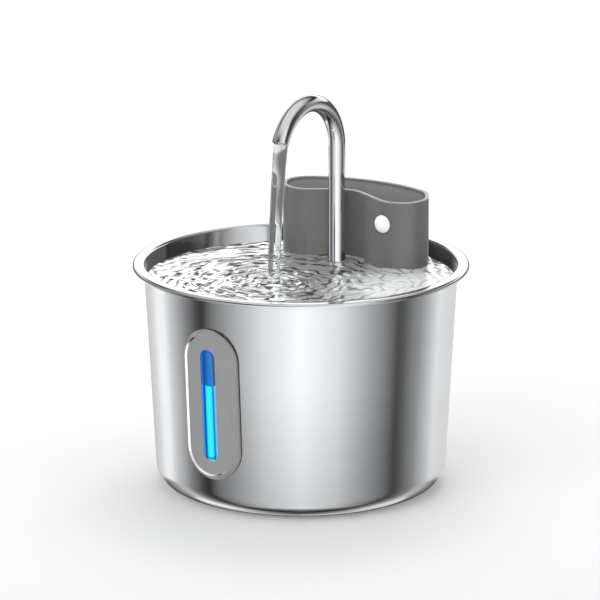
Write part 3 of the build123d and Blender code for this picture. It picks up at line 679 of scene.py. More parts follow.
@dataclass(frozen=True)
class PressedSinter(Finish):
    """Pressed and sintered powder: ferrite or alumina.

    The eye gets a fine even speckle of grains, dull on ferrite and glossy on ground alumina.
    """

    colour: str
    speck: str
    roughness: float

    def shader(self, tree: NodeTree, place: NodeSocket) -> NodeSocket:
        """Builds the sintered body.

        Args:
            tree: Node tree of the material.
            place: Socket that gives the place on the piece.

        Returns:
            The shader's output socket.
        """
        # grains of about 0.45 mm, coarser than real
        grains = add_node(tree, "TexVoronoi", {"Scale": 2200.0, "Vector": place})
        share = add_node(tree, "SeparateColor", {0: grains.outputs["Color"]})
        tint = add_node(tree, "Mix", {0: share, 6: linear(self.colour), 7: linear(self.speck)})
        return self.surface(tree, grains, 0.25, 0.02 * MM, {
            "Roughness": self.roughness, "Base Color": tint})


@dataclass(frozen=True)
class PrintedBoard(Finish):
    """Glass-epoxy circuit board under green solder mask.

    The eye gets a glossy green with lighter copper tracks under the mask and a faint cloth weave.
    """

    colour: str
    track: str

    def shader(self, tree: NodeTree, place: NodeSocket) -> NodeSocket:
        """Builds the board.

        Args:
            tree: Node tree of the material.
            place: Socket that gives the place on the piece.

        Returns:
            The shader's output socket.
        """
        # tracks a millimetre or so apart
        tracks = add_node(tree, "TexBrick", {
            "Scale": 400.0, "Mortar Size": 0.06, "Color1": grey(0), "Color2": grey(0), "Mortar": grey(1),
            "Vector": place})
        # cloth threads a few to the millimetre
        weave = add_node(tree, "TexWave", {"Scale": 900.0, "Distortion": 0.4, "Vector": place})
        tint = add_node(tree, "Mix", {
            0: tracks.outputs["Fac"], 6: linear(self.colour), 7: linear(self.track)})
        return self.surface(tree, weave.outputs["Fac"], 0.2, 0.03 * MM, {
            "Roughness": 0.28, "Coat Weight": 0.4, "Base Color": tint})


@dataclass(frozen=True)
class SightGlassWithPaintedGlow(Finish):
    """Clear polycarbonate sight glass whose blue glow is painted light, which the glass emits itself.

    The eye gets a bright cyan column of lit water with dark blue refraction lines along its
    sides and round its ends, and a deeper blue above the water line, which bends up a little at
    the edges; all of it is painted into the glass's emission. The stops run across the glass from
    0 to 1; the arcs round its ends are measured in half widths.
    """

    centre: Vector
    across: Vector
    half_width: float
    half_straight: float
    water_line: float
    water_stops: Stops
    air_stops: Stops
    body_colour: str
    painted_refraction_colour: str
    glow: float
    bow: float = 1.2 * MM
    blur: float = 0.4 * MM
    arc_radius: float = 0.74
    arc_width: Pair = (0.15, 0.05)
    arc_share: float = 0.9

    def shader(self, tree: NodeTree, place: NodeSocket) -> NodeSocket:
        """Builds the lit glass.

        Args:
            tree: Node tree of the material.
            place: Socket that gives the place on the piece.

        Returns:
            The shader's output socket.
        """
        offset = add_node(tree, "VectorMath", {"operation": "SUBTRACT", 0: place, 1: self.centre})
        level = add_node(tree, "VectorMath", {
            "operation": "DOT_PRODUCT", 0: offset, 1: self.across / self.half_width})
        side = add_node(tree, "MapRange", {"From Min": -1.0, "From Max": 1.0, "Value": level})
        water, air = (add_node(tree, "ValToRGB", {
            "stops": [(spot, linear(code)) for spot, code in stops], 0: side})
            for stops in (self.water_stops, self.air_stops))
        height = add_node(tree, "SeparateXYZ", {0: place})
        bow = add_node(tree, "Math", {"operation": "MULTIPLY", 0: level, 1: level})
        line = add_node(tree, "Math", {
            "operation": "MULTIPLY_ADD", 0: bow, 1: self.bow, 2: self.water_line})
        above = add_node(tree, "Math", {"operation": "SUBTRACT", 0: height.outputs["Z"], 1: line})
        share = add_node(tree, "MapRange", {"From Min": -self.blur, "From Max": self.blur, "Value": above})
        glow = add_node(tree, "Mix", {0: share, 6: water, 7: air})
        from_middle = add_node(tree, "Math", {
            "operation": "SUBTRACT", 0: height.outputs["Z"], 1: self.centre.z})
        to_end = add_node(tree, "Math", {"operation": "ABSOLUTE", 0: from_middle})
        beyond = add_node(tree, "MapRange", {
            "From Min": self.half_straight, "From Max": self.half_straight + self.half_width,
            "Value": to_end})
        round_end = add_node(tree, "CombineXYZ", {"X": level, "Y": beyond})
        radius = add_node(tree, "VectorMath", {"operation": "LENGTH", 0: round_end})
        off_arc = add_node(tree, "Math", {"operation": "SUBTRACT", 0: radius, 1: self.arc_radius})
        near_arc = add_node(tree, "Math", {"operation": "ABSOLUTE", 0: off_arc})
        arc = add_node(tree, "MapRange", {
            "From Min": self.arc_width[0], "From Max": self.arc_width[1], "Value": near_arc})
        at_end = add_node(tree, "MapRange", {"From Max": 0.3, "To Max": self.arc_share, "Value": beyond})
        arc_share = add_node(tree, "Math", {"operation": "MULTIPLY", 0: arc, 1: at_end})
        # painted refraction lines: dark blue arcs mixed into the glow round the glass's ends
        lined = add_node(tree, "Mix", {0: arc_share, 6: glow, 7: linear(self.painted_refraction_colour)})
        ripple = add_node(tree, "TexNoise", {"Scale": 220.0, "Detail": 2.0, "Vector": place})
        return self.surface(tree, ripple, 0.2, 0.1 * MM, {
            "Base Color": linear(self.body_colour), "Roughness": 0.12, "IOR": 1.58,
            "Emission Strength": self.glow, "Emission Color": lined})


@dataclass(frozen=True)
class FallingWater(Finish):
    """Clear water in a smooth falling stream.

    The eye gets what lies behind it turned left to right, as through a rod of glass.
    """

    colour: str
    ripple: float
    depth: float

    def shader(self, tree: NodeTree, place: NodeSocket) -> NodeSocket:
        """Builds the stream.

        Args:
            tree: Node tree of the material.
            place: Socket that gives the place on the piece.

        Returns:
            The shader's output socket.
        """
        ripple = add_node(tree, "TexNoise", {"Scale": 1 / self.ripple, "Detail": 2.0, "Vector": place})
        return self.surface(tree, ripple, 0.4, self.depth, {
            "Base Color": linear(self.colour), "Roughness": 0.0, "IOR": 1.333, "Transmission Weight": 1.0})


@dataclass(frozen=True)
class StirredWater(Finish):
    """Surface of water that a stream stirs up.

    The eye gets the bright surroundings mirrored in each wave, the white of fine air below it,
    and thin dark lines in broken rings round the place where the stream lands. These lines are
    painted reflections: a dark colour that stands in for steep little waves turning the light away.
    """

    colour: str
    airy_colour: str
    painted_dark_reflection_colour: str
    centre: Vector
    calm_centre: Vector
    calm_reach: float
    spacing: float
    ripple: float
    depth: float
    mirror: float
    airy_mirror: float
    clear: float
    tangle: float = 17.0
    painted_reflection_width: Pair = (0.38, 0.07)
    painted_reflection_share: float = 0.88
    airy_painted_reflection_share: float = 0.3
    patch: float = 12.5 * MM

    def shader(self, tree: NodeTree, place: NodeSocket) -> NodeSocket:
        """Builds the surface.

        Args:
            tree: Node tree of the material.
            place: Socket that gives the place on the piece.

        Returns:
            The shader's output socket.
        """
        offset = add_node(tree, "VectorMath", {"operation": "SUBTRACT", 0: place, 1: self.centre})
        rings = add_node(tree, "TexWave", {
            "wave_type": "RINGS", "rings_direction": "SPHERICAL", "Scale": math.tau / 20 / self.spacing,
            "Distortion": self.tangle, "Detail": 2.5, "Detail Scale": 0.8, "Vector": offset})
        lines = add_node(tree, "MapRange", {
            "From Min": self.painted_reflection_width[0], "From Max": self.painted_reflection_width[1], "Value": rings.outputs["Fac"]})
        patches = add_node(tree, "TexNoise", {"Scale": 1 / self.patch, "Detail": 2.0, "Vector": place})
        here = add_node(tree, "MapRange", {"From Min": 0.4, "From Max": 0.52, "Value": patches})
        far = add_node(tree, "VectorMath", {"operation": "DISTANCE", 0: place, 1: self.calm_centre})
        airy = add_node(tree, "MapRange", {
            "From Min": self.calm_reach, "From Max": 0.4 * self.calm_reach, "Value": far})
        painted_reflection_strength = add_node(tree, "MapRange", {
            "To Min": self.painted_reflection_share, "To Max": self.airy_painted_reflection_share, "Value": airy})
        both = add_node(tree, "Math", {"operation": "MULTIPLY", 0: here, 1: painted_reflection_strength})
        # painted reflection: dark lines in the water's colour, in broken rings round the landing, stand in
        # for steep waves that mirror dark surroundings
        share = add_node(tree, "Math", {"operation": "MULTIPLY", 0: both, 1: lines})
        body = add_node(tree, "Mix", {0: airy, 6: linear(self.colour), 7: linear(self.airy_colour)})
        tint = add_node(tree, "Mix", {0: share, 6: body, 7: linear(self.painted_dark_reflection_colour)})
        ripple = add_node(tree, "TexNoise", {
            "Scale": 1 / self.ripple, "Detail": 2.0, "Distortion": 1.5, "Vector": place})
        mirror = add_node(tree, "MapRange", {
            "To Min": self.mirror, "To Max": self.airy_mirror, "Value": airy})
        return self.surface(tree, ripple, 0.5, self.depth, {
            "Roughness": 0.02, "IOR": 1.333, "Specular IOR Level": 0.15, "Transmission Weight": self.clear,
            "Base Color": tint, "Metallic": mirror})


BOWL_STEEL = StainlessSteel("deep_drawn_polished_steel", Slot.BOWL_STEEL, "C9CBCD", "BEC0C2", 0.09, 0.14,
                            pitch=0.5 * MM, line=40 * MM, depth=0.004 * MM)
TUBE_STEEL = StainlessSteel("mirror_polished_tube", Slot.TUBE_STEEL, "CDCECF", "C3C4C6", 0.015, 0.04,
                            pitch=0.5 * MM, line=30 * MM, depth=0.002 * MM, upright=True)
SCREW_STEEL = StainlessSteel("turned_screw_steel", Slot.SCREW, "B4B6B9", "9C9EA1", 0.25, 0.4,
                             pitch=0.3 * MM, line=6 * MM, depth=0.01 * MM)
RIM_CHROME = StainlessSteel("diamond_cut_bright_rim", Slot.FRAME, "F2F3F4", "E8E9EA", 0.08, 0.14,
                            pitch=0.4 * MM, line=20 * MM, depth=0.002 * MM, upright=True)
# The housing's lighter rim colour is a painted highlight along its top edge.
HOUSING_ABS = MouldedPlastic("spark_eroded_grey_abs", Slot.HOUSING, "686869", "646465",
                             0.5 * MM, 0.02 * MM, 0.3, sheen=0.25,
                             rim_height=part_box("housing_shell")[1][2], rim_highlight_colour="9C9C9C")
LID_ABS = MouldedPlastic("spark_eroded_lid_abs", Slot.LID, "626263", "5E5E60",
                         0.5 * MM, 0.02 * MM, 0.5, specular=0.15)
FRAME_ABS = MouldedPlastic("satin_frame_abs", Slot.FRAME, "8B8C8C", "878888", 0.4 * MM, 0.012 * MM, 0.3)
BEZEL_ABS = MouldedPlastic("satin_bezel_abs", Slot.FRAME, "656566", "616162", 0.4 * MM, 0.012 * MM, 0.35)
BUTTON_ABS = MouldedPlastic("satin_white_button_abs", Slot.BUTTON, "F8F8F7", "F3F3F2",
                            0.4 * MM, 0.008 * MM, 0.25)
INNER_PP = MouldedPlastic("natural_grey_polypropylene", Slot.INNER, "A4A6A8", "9C9EA1",
                          0.6 * MM, 0.03 * MM, 0.5)
BLACK_PP = MouldedPlastic("black_polypropylene", Slot.BLACK, "1B1B1D", "151517", 0.5 * MM, 0.02 * MM, 0.45)
PUMP_RESIN = MouldedPlastic("black_potting_resin", Slot.PUMP, "232326", "1B1B1E", 0.8 * MM, 0.02 * MM, 0.3)
IMPELLER_POM = MouldedPlastic("white_acetal", Slot.IMPELLER, "E6E7E8", "DBDDDE", 0.4 * MM, 0.01 * MM, 0.3)
LED_LENS = MouldedPlastic("clear_led_epoxy", Slot.LED, "9CCBF5", "8FC0EE",
                          0.6 * MM, 0.006 * MM, 0.12, glow=0.6)
DARK_SILICONE = MouldedSilicone("dark_moulded_silicone", Slot.DARK_SILICONE, "2A2A2C", "6E6E70", 0.6)
CLEAR_SILICONE = MouldedSilicone("translucent_silicone", Slot.CLEAR_SILICONE, "DDE0E2", "F2F4F5",
                                 0.4, see_through=0.35)
FERRITE = PressedSinter("pressed_ferrite", Slot.MAGNET, "2E2E30", "47474A", 0.55)
ALUMINA = PressedSinter("ground_alumina", Slot.SHAFT, "EFEDE6", "E2DFD6", 0.12)
FR4_BOARD = PrintedBoard("green_glass_epoxy_board", Slot.BOARD, "0E4A28", "2E7A48")
SPONGE = CellularFilling("open_cell_sponge", Slot.FOAM, "3F4C5E", "141A24",
                         1.4 * MM, 0.5 * MM, 0.9, sheen=0.2)
RESIN_BEADS = CellularFilling("ion_exchange_beads", Slot.RESIN, "C88A34", "5E3A10",
                              1.0 * MM, 0.4 * MM, 0.35)
CARBON_GRANULES = CellularFilling("activated_carbon_granules", Slot.CARBON, "1E1E1F", "060606",
                                  2.2 * MM, 0.8 * MM, 0.6)
COTTON = FibreWadding("needled_filter_cotton", Slot.COTTON, "F3F3F0", "C9C9C4", 0.3 * MM, 0.3 * MM)
# The water's dark line colour is a painted reflection of dark surroundings in steep waves.
POOL_WATER = StirredWater("stirred_water", Slot.CLEAR_SILICONE, "F2F4F5", "F8FAFA", "0A0C0D",
                          LANDING, CALM, 62 * MM, spacing=8 * MM, ripple=3 * MM, depth=0.08 * MM,
                          mirror=0.76, airy_mirror=0.08, clear=0.04)
STREAM_WATER = FallingWater("falling_water", Slot.CLEAR_SILICONE, "FBFDFE", 9 * MM, 0.04 * MM)
# Emission colours of the sight glass: painted light of the lit water and of the air above it, with painted
# dark refraction lines.
PAINTED_GLOW_WATER = ((0.0, "3F9CEA"), (0.09, "2E93E6"), (0.14, "003C9A"), (0.25, "0048AE"), (0.33, "1FE6FF"),
             (0.5, "27FFFF"), (0.72, "22E4FF"), (0.79, "005EB8"), (0.85, "0074D0"), (0.92, "3CCBFF"),
             (1.0, "3CCBFF"))
PAINTED_GLOW_AIR = ((0.0, "1450A8"), (0.1, "1F68C8"), (0.2, "023C74"), (0.32, "0C4C8C"), (0.5, "146CC0"),
           (0.66, "1276CE"), (0.8, "287CCA"), (0.88, "0C3C74"), (1.0, "0C3C74"))


class Assembly:
    """Sub-assembly that models its own pieces and dresses solids that are shown as they are."""

    solids: ClassVar[tuple[tuple[Finish | str, ...], ...]] = ()

    def build(self) -> None:
        """Builds nothing, where all the pieces are the part's own solids."""

    def dress(self) -> None:
        """Gives each finish to its solids."""
        for finish, *nodes in self.solids:
            dress(finish, *nodes)


# ---------------------------------------------------------------- the bowl and its sight window
@dataclass
class Bowl(Assembly):
    """Deep-drawn steel bowl on a silicone foot ring."""

    foot: float = 1.2 * MM
    height: float = 135.0 * MM
    rim_radius: float = 99.96 * MM
    wall_top_radius: float = 93.4 * MM
    lean: float = math.radians(3.2)
    sheet: float = 0.8 * MM
    corner: float = 13.0 * MM
    rim_bend: float = 1.6 * MM
    lip_drop: float = 2.5 * MM
    lip_bend: float = 1.4 * MM
    lip_edge: float = 0.2 * MM
    segments: int = 256
    bend_steps: int = 8
    solids = ((DARK_SILICONE, "foot_ring"),)

    def wall_radius(self, height: float) -> float:
        """Returns the outside radius of the wall at a height."""
        return self.wall_top_radius - math.tan(self.lean) * (self.foot + self.height - height)

    def build(self) -> None:
        """Builds the steel shell and cuts the opening for the window."""
        top = self.foot + self.height
        under = top - self.sheet
        floor = self.foot + self.sheet
        profile = rounded_profile([
            (0, self.foot, 0),
            (self.wall_radius(self.foot), self.foot, self.corner),
            (self.wall_radius(under), under, self.rim_bend - self.sheet),
            (self.rim_radius - self.sheet, under, self.lip_bend - self.sheet),
            (self.rim_radius - self.sheet, top - self.lip_drop, self.lip_edge),
            (self.rim_radius, top - self.lip_drop, self.lip_edge),
            (self.rim_radius, top, self.lip_bend),
            (self.wall_radius(top) - self.sheet, top, self.rim_bend),
            (self.wall_radius(floor) - self.sheet, floor, self.corner - self.sheet),
            (0, floor, 0)], self.bend_steps)
        rings = [(point.x, Vector((0, 0, point.y))) for point in profile]
        shell = stacked_rings("bowl_shell", rings, self.segments)
        window = SightWindow()
        cut(shell, window.bar(window.opening_length, window.opening_width))
        settle(shell)
        shell.visible_glossy = False
        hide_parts("bowl")
        carried_by(shell, "bowl_unit", BOWL_STEEL)


@dataclass
class SightWindow(Assembly):
    """Upright sight window: frame, glass that glows with painted light, gaskets, backing plate and screws.
    """

    azimuth: float = math.radians(35.5)
    height: float = 69.0 * MM
    reach: float = 15.0 * MM
    glass_half_width: float = 5.05 * MM
    water_line: float = 80.7 * MM
    frame_length: float = 92.0 * MM
    frame_width: float = 38.0 * MM
    frame_foot: float = 0.7 * MM
    frame_side: float = 1.3 * MM
    frame_bevel: float = 2.1 * MM
    rim_width: float = 0.5 * MM
    rim_slope: float = 0.8 * MM
    rim_height: float = 1.05 * MM
    slot_length: float = 68.7 * MM
    slot_width: float = 10.4 * MM
    opening_length: float = 71.0 * MM
    opening_width: float = 12.6 * MM
    glass_half_straight: float = 29.1 * MM
    glass_edge: float = 0.3 * MM
    frame_edge: float = 0.15 * MM
    sharp: float = math.radians(24)
    bevelled: float = math.radians(25)
    face_ring: float = 2.4 * MM
    back_ring: float = 3.2 * MM
    rings: int = 4
    frame_points: int = 96
    bar_points: int = 64
    foot_face: float = 0.1 * MM
    slope_part: Pair = (0.2, 0.8)
    solids = ((DARK_SILICONE, "window_gasket_outer", "window_gasket_inner"),
              (INNER_PP, "window_backplate"),
              (SCREW_STEEL, "window_screws"))

    def outward(self) -> Vector:
        """Returns the level direction that the window faces."""
        return facing(self.azimuth)

    def across(self) -> Vector:
        """Returns the level direction along the window's width, to the right."""
        return Vector((math.cos(self.azimuth), -math.sin(self.azimuth), 0))

    def centre(self) -> Vector:
        """Returns the window's middle on the outside of the wall."""
        return self.outward() * Bowl().wall_radius(self.height) + Vector((0, 0, self.height))

    def bar(self, length: float, width: float) -> Object:
        """Makes an obround bar through the wall, for cutting.

        Args:
            length: Length of the bar's outline.
            width: Width of the bar's outline.

        Returns:
            The cutter.
        """
        deselect()
        half = (length - width) / 2
        bpy.ops.mesh.primitive_cylinder_add(vertices=self.bar_points, radius=width / 2,
                                            depth=2 * self.reach)
        cutter = bpy.context.object
        bpy.ops.object.mode_set(mode="EDIT")
        self.stretch(cutter, half)
        bpy.ops.object.mode_set(mode="OBJECT")
        cutter.rotation_euler = (math.pi / 2 + Bowl().lean, 0, -self.azimuth)
        cutter.location = self.centre()
        bpy.ops.object.transform_apply(location=True, rotation=True, scale=True)
        return cutter

    def stretch(self, obj: Object, half: float) -> None:
        """Pulls a round shape in edit mode apart into an obround.

        Args:
            obj: Shape in edit mode, its middle at the origin.
            half: How far each end moves along Y.
        """
        for side in (1, -1):
            select_where(obj, "VERT", lambda co: side * co.y > TINY)
            bpy.ops.transform.translate(value=(0, side * half, 0))

    def build_frame(self) -> Object:
        """Models the frame flat, with a raised rim, then lays it on the wall and cuts the slot.

        Returns:
            The frame.
        """
        half = (self.frame_length - self.frame_width) / 2
        plate = new_circle("sight_frame", self.frame_points, self.frame_width / 2,
                           Vector((0, 0, self.frame_foot)), "NGON")
        bpy.ops.object.mode_set(mode="EDIT")
        self.stretch(plate, half)
        bpy.ops.mesh.select_all(action="SELECT")
        bpy.ops.mesh.extrude_region_move(TRANSFORM_OT_translate={"value": (0, 0, self.frame_side)})
        steps = [(self.frame_bevel, self.frame_bevel), (self.rim_width, 0),
                 (self.rim_slope, -self.rim_height)] + [(self.face_ring, 0)] * self.rings
        for thickness, depth in steps:
            bpy.ops.mesh.inset(thickness=thickness, depth=depth)
        select_where(plate, "FACE", lambda co: co.z < self.frame_foot + self.foot_face)
        for _ in range(self.rings):
            bpy.ops.mesh.inset(thickness=self.back_ring, depth=0)
        top = self.frame_foot + self.frame_side + self.frame_bevel
        high, low = (top - part * self.rim_height for part in self.slope_part)
        select_where(plate, "FACE", lambda co: low < co.z < high)
        bpy.ops.object.mode_set(mode="OBJECT")
        for polygon in plate.data.polygons:
            polygon.material_index = int(polygon.select)
        self.lay_on_wall(plate)
        recalculate(plate)
        cut(plate, self.bar(self.slot_length, self.slot_width))
        apply_modifier(plate, "BEVEL", width=self.frame_edge, segments=2, limit_method="ANGLE",
                       angle_limit=self.bevelled)
        return settle(plate, self.sharp)

    def lay_on_wall(self, plate: Object) -> None:
        """Bends a plate modelled flat, its height along Z, onto the leaning round wall.

        Args:
            plate: Plate to bend.
        """
        bowl = Bowl()
        for vertex in plate.data.vertices:
            across, along, height = vertex.co
            level = self.height + along * math.cos(bowl.lean)
            radius = bowl.wall_radius(level) + height / math.cos(bowl.lean)
            out = math.sqrt(radius ** 2 - across ** 2)
            vertex.co = self.outward() * out + self.across() * across + Vector((0, 0, level))

    def build(self) -> None:
        """Builds the frame and the glass."""
        frame_piece = self.build_frame()
        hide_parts("window_frame")
        carried_by(frame_piece, "bowl_unit", FRAME_ABS, RIM_CHROME)
        # the glass glows though it is no lamp: its emission paints the light behind it
        painted_glow_glass = SightGlassWithPaintedGlow(
            "polycarbonate_sight_glass_painted_glow", Slot.SIGHT, self.centre(), self.across(),
            self.glass_half_width, self.glass_half_straight, self.water_line, PAINTED_GLOW_WATER, PAINTED_GLOW_AIR,
            body_colour="06284A", painted_refraction_colour="0048A8", glow=0.95)
        glass = refined_copy("window_lens", "sight_glass", self.glass_edge)
        carried_by(settle(glass), "bowl_unit", painted_glow_glass)


# ---------------------------------------------------------------- the pump and filter unit
@dataclass
class PumpBase(Assembly):
    """Lower case with its deck, feet, screws, sponge and light."""

    solids = ((BLACK_PP, "pump_base", "base_deck"),
              (DARK_SILICONE, "base_feet"),
              (SCREW_STEEL, "deck_screws", "housing_screws"),
              (SPONGE, "foam_prefilter"),
              (LED_LENS, "led_lens"),
              (BLACK_PP, "led_ring"),
              (FR4_BOARD, "led_board"))


@dataclass
class Housing(Assembly):
    """Grey filter housing with its lid, tube cradle and cord grommet."""

    edge: float = 0.35 * MM
    solids = ((HOUSING_ABS, "tube_cradle"),
              (DARK_SILICONE, "cord_grommet", "lid_seal"))

    def build(self) -> None:
        """Builds the shell and the lid with softened edges."""
        shell = refined_copy("housing_shell", "filter_housing", self.edge)
        carried_by(settle(shell), "fountain_unit", HOUSING_ABS)
        lid = refined_copy("housing_lid", "filter_lid", self.edge)
        carried_by(settle(lid), "lid", LID_ABS)


@dataclass
class LightButton(Assembly):
    """White push button of the light, with its bezel, gasket, switch and board."""

    edge: float = 0.2 * MM
    solids = ((BEZEL_ABS, "button_bezel"),
              (DARK_SILICONE, "button_gasket"),
              (BLACK_PP, "tact_switch"),
              (FR4_BOARD, "switch_board"),
              (SCREW_STEEL, "board_screws"))

    def build(self) -> None:
        """Builds the button's cap with a softened edge."""
        carried_by(settle(refined_copy("light_button", "button_cap", self.edge)), "button", BUTTON_ABS)


@dataclass
class Cartridge(Assembly):
    """Filter cartridge: frame, cotton, resin beads and carbon."""

    solids = ((INNER_PP, "filter_frame"),
              (COTTON, "filter_cotton"),
              (RESIN_BEADS, "filter_resin"),
              (CARBON_GRANULES, "filter_carbon"))


@dataclass
class Pump(Assembly):
    """Magnetic-drive pump with its throttle and outlet."""

    solids = ((PUMP_RESIN, "pump_case", "pump_volute", "pump_inlet_cover"),
              (INNER_PP, "flow_slider"),
              (IMPELLER_POM, "impeller"),
              (FERRITE, "rotor_magnet"),
              (ALUMINA, "impeller_shaft", "shaft_bushes"),
              (DARK_SILICONE, "pump_feet", "pump_gland"),
              (CLEAR_SILICONE, "outlet_coupler"))


# ---------------------------------------------------------------- the faucet and the water
@dataclass
class Faucet(Assembly):
    """Bent steel tube in its plug-in sleeve."""

    x: float = 21.5 * MM
    y: float = 48.0 * MM
    foot: float = 53.6 * MM
    knee: float = 195.2 * MM
    radius: float = 5.13 * MM
    wall: float = 0.8 * MM
    arch: float = 32.0 * MM
    sweep: float = math.radians(155.0)
    azimuth: float = math.radians(33.5)
    edge: float = 0.25 * MM
    points: int = 64
    arch_steps: int = 72
    bevelled: float = math.radians(60)
    solids = ((BLACK_PP, "tube_sleeve"),
              (DARK_SILICONE, "sleeve_orings"))

    def forward(self) -> Vector:
        """Returns the level direction in which the arch leads."""
        return facing(self.azimuth)

    def arch_centre(self) -> Vector:
        """Returns the middle of the arch's bend."""
        return Vector((self.x, self.y, self.knee)) + self.forward() * self.arch

    def outlet(self) -> tuple[Vector, Vector]:
        """Returns the middle of the outlet and the direction in which water leaves it."""
        arm = -self.forward() * math.cos(self.sweep) + Vector((0, 0, math.sin(self.sweep)))
        flow = self.forward() * math.sin(self.sweep) + Vector((0, 0, math.cos(self.sweep)))
        return self.arch_centre() + arm * self.arch, flow

    def build(self) -> None:
        """Bends the tube: a ring drawn up and spun round the arch, then given its wall."""
        tube = new_circle("bent_tube", self.points, self.radius, Vector((self.x, self.y, self.foot)))
        open_all(tube)
        bpy.ops.mesh.extrude_region_move(TRANSFORM_OT_translate={"value": (0, 0, self.knee - self.foot)})
        axis = self.forward().cross(Vector((0, 0, 1)))
        bpy.ops.mesh.spin(steps=self.arch_steps, angle=self.sweep, center=self.arch_centre(), axis=axis)
        bpy.ops.object.mode_set(mode="OBJECT")
        recalculate(tube)
        apply_modifier(tube, "SOLIDIFY", thickness=self.wall, offset=-1.0)
        apply_modifier(tube, "BEVEL", width=self.edge, segments=3, limit_method="ANGLE",
                       angle_limit=self.bevelled)
        settle(tube)
        tube.visible_shadow = False
        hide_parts("faucet_tube")
        carried_by(tube, "faucet", TUBE_STEEL)


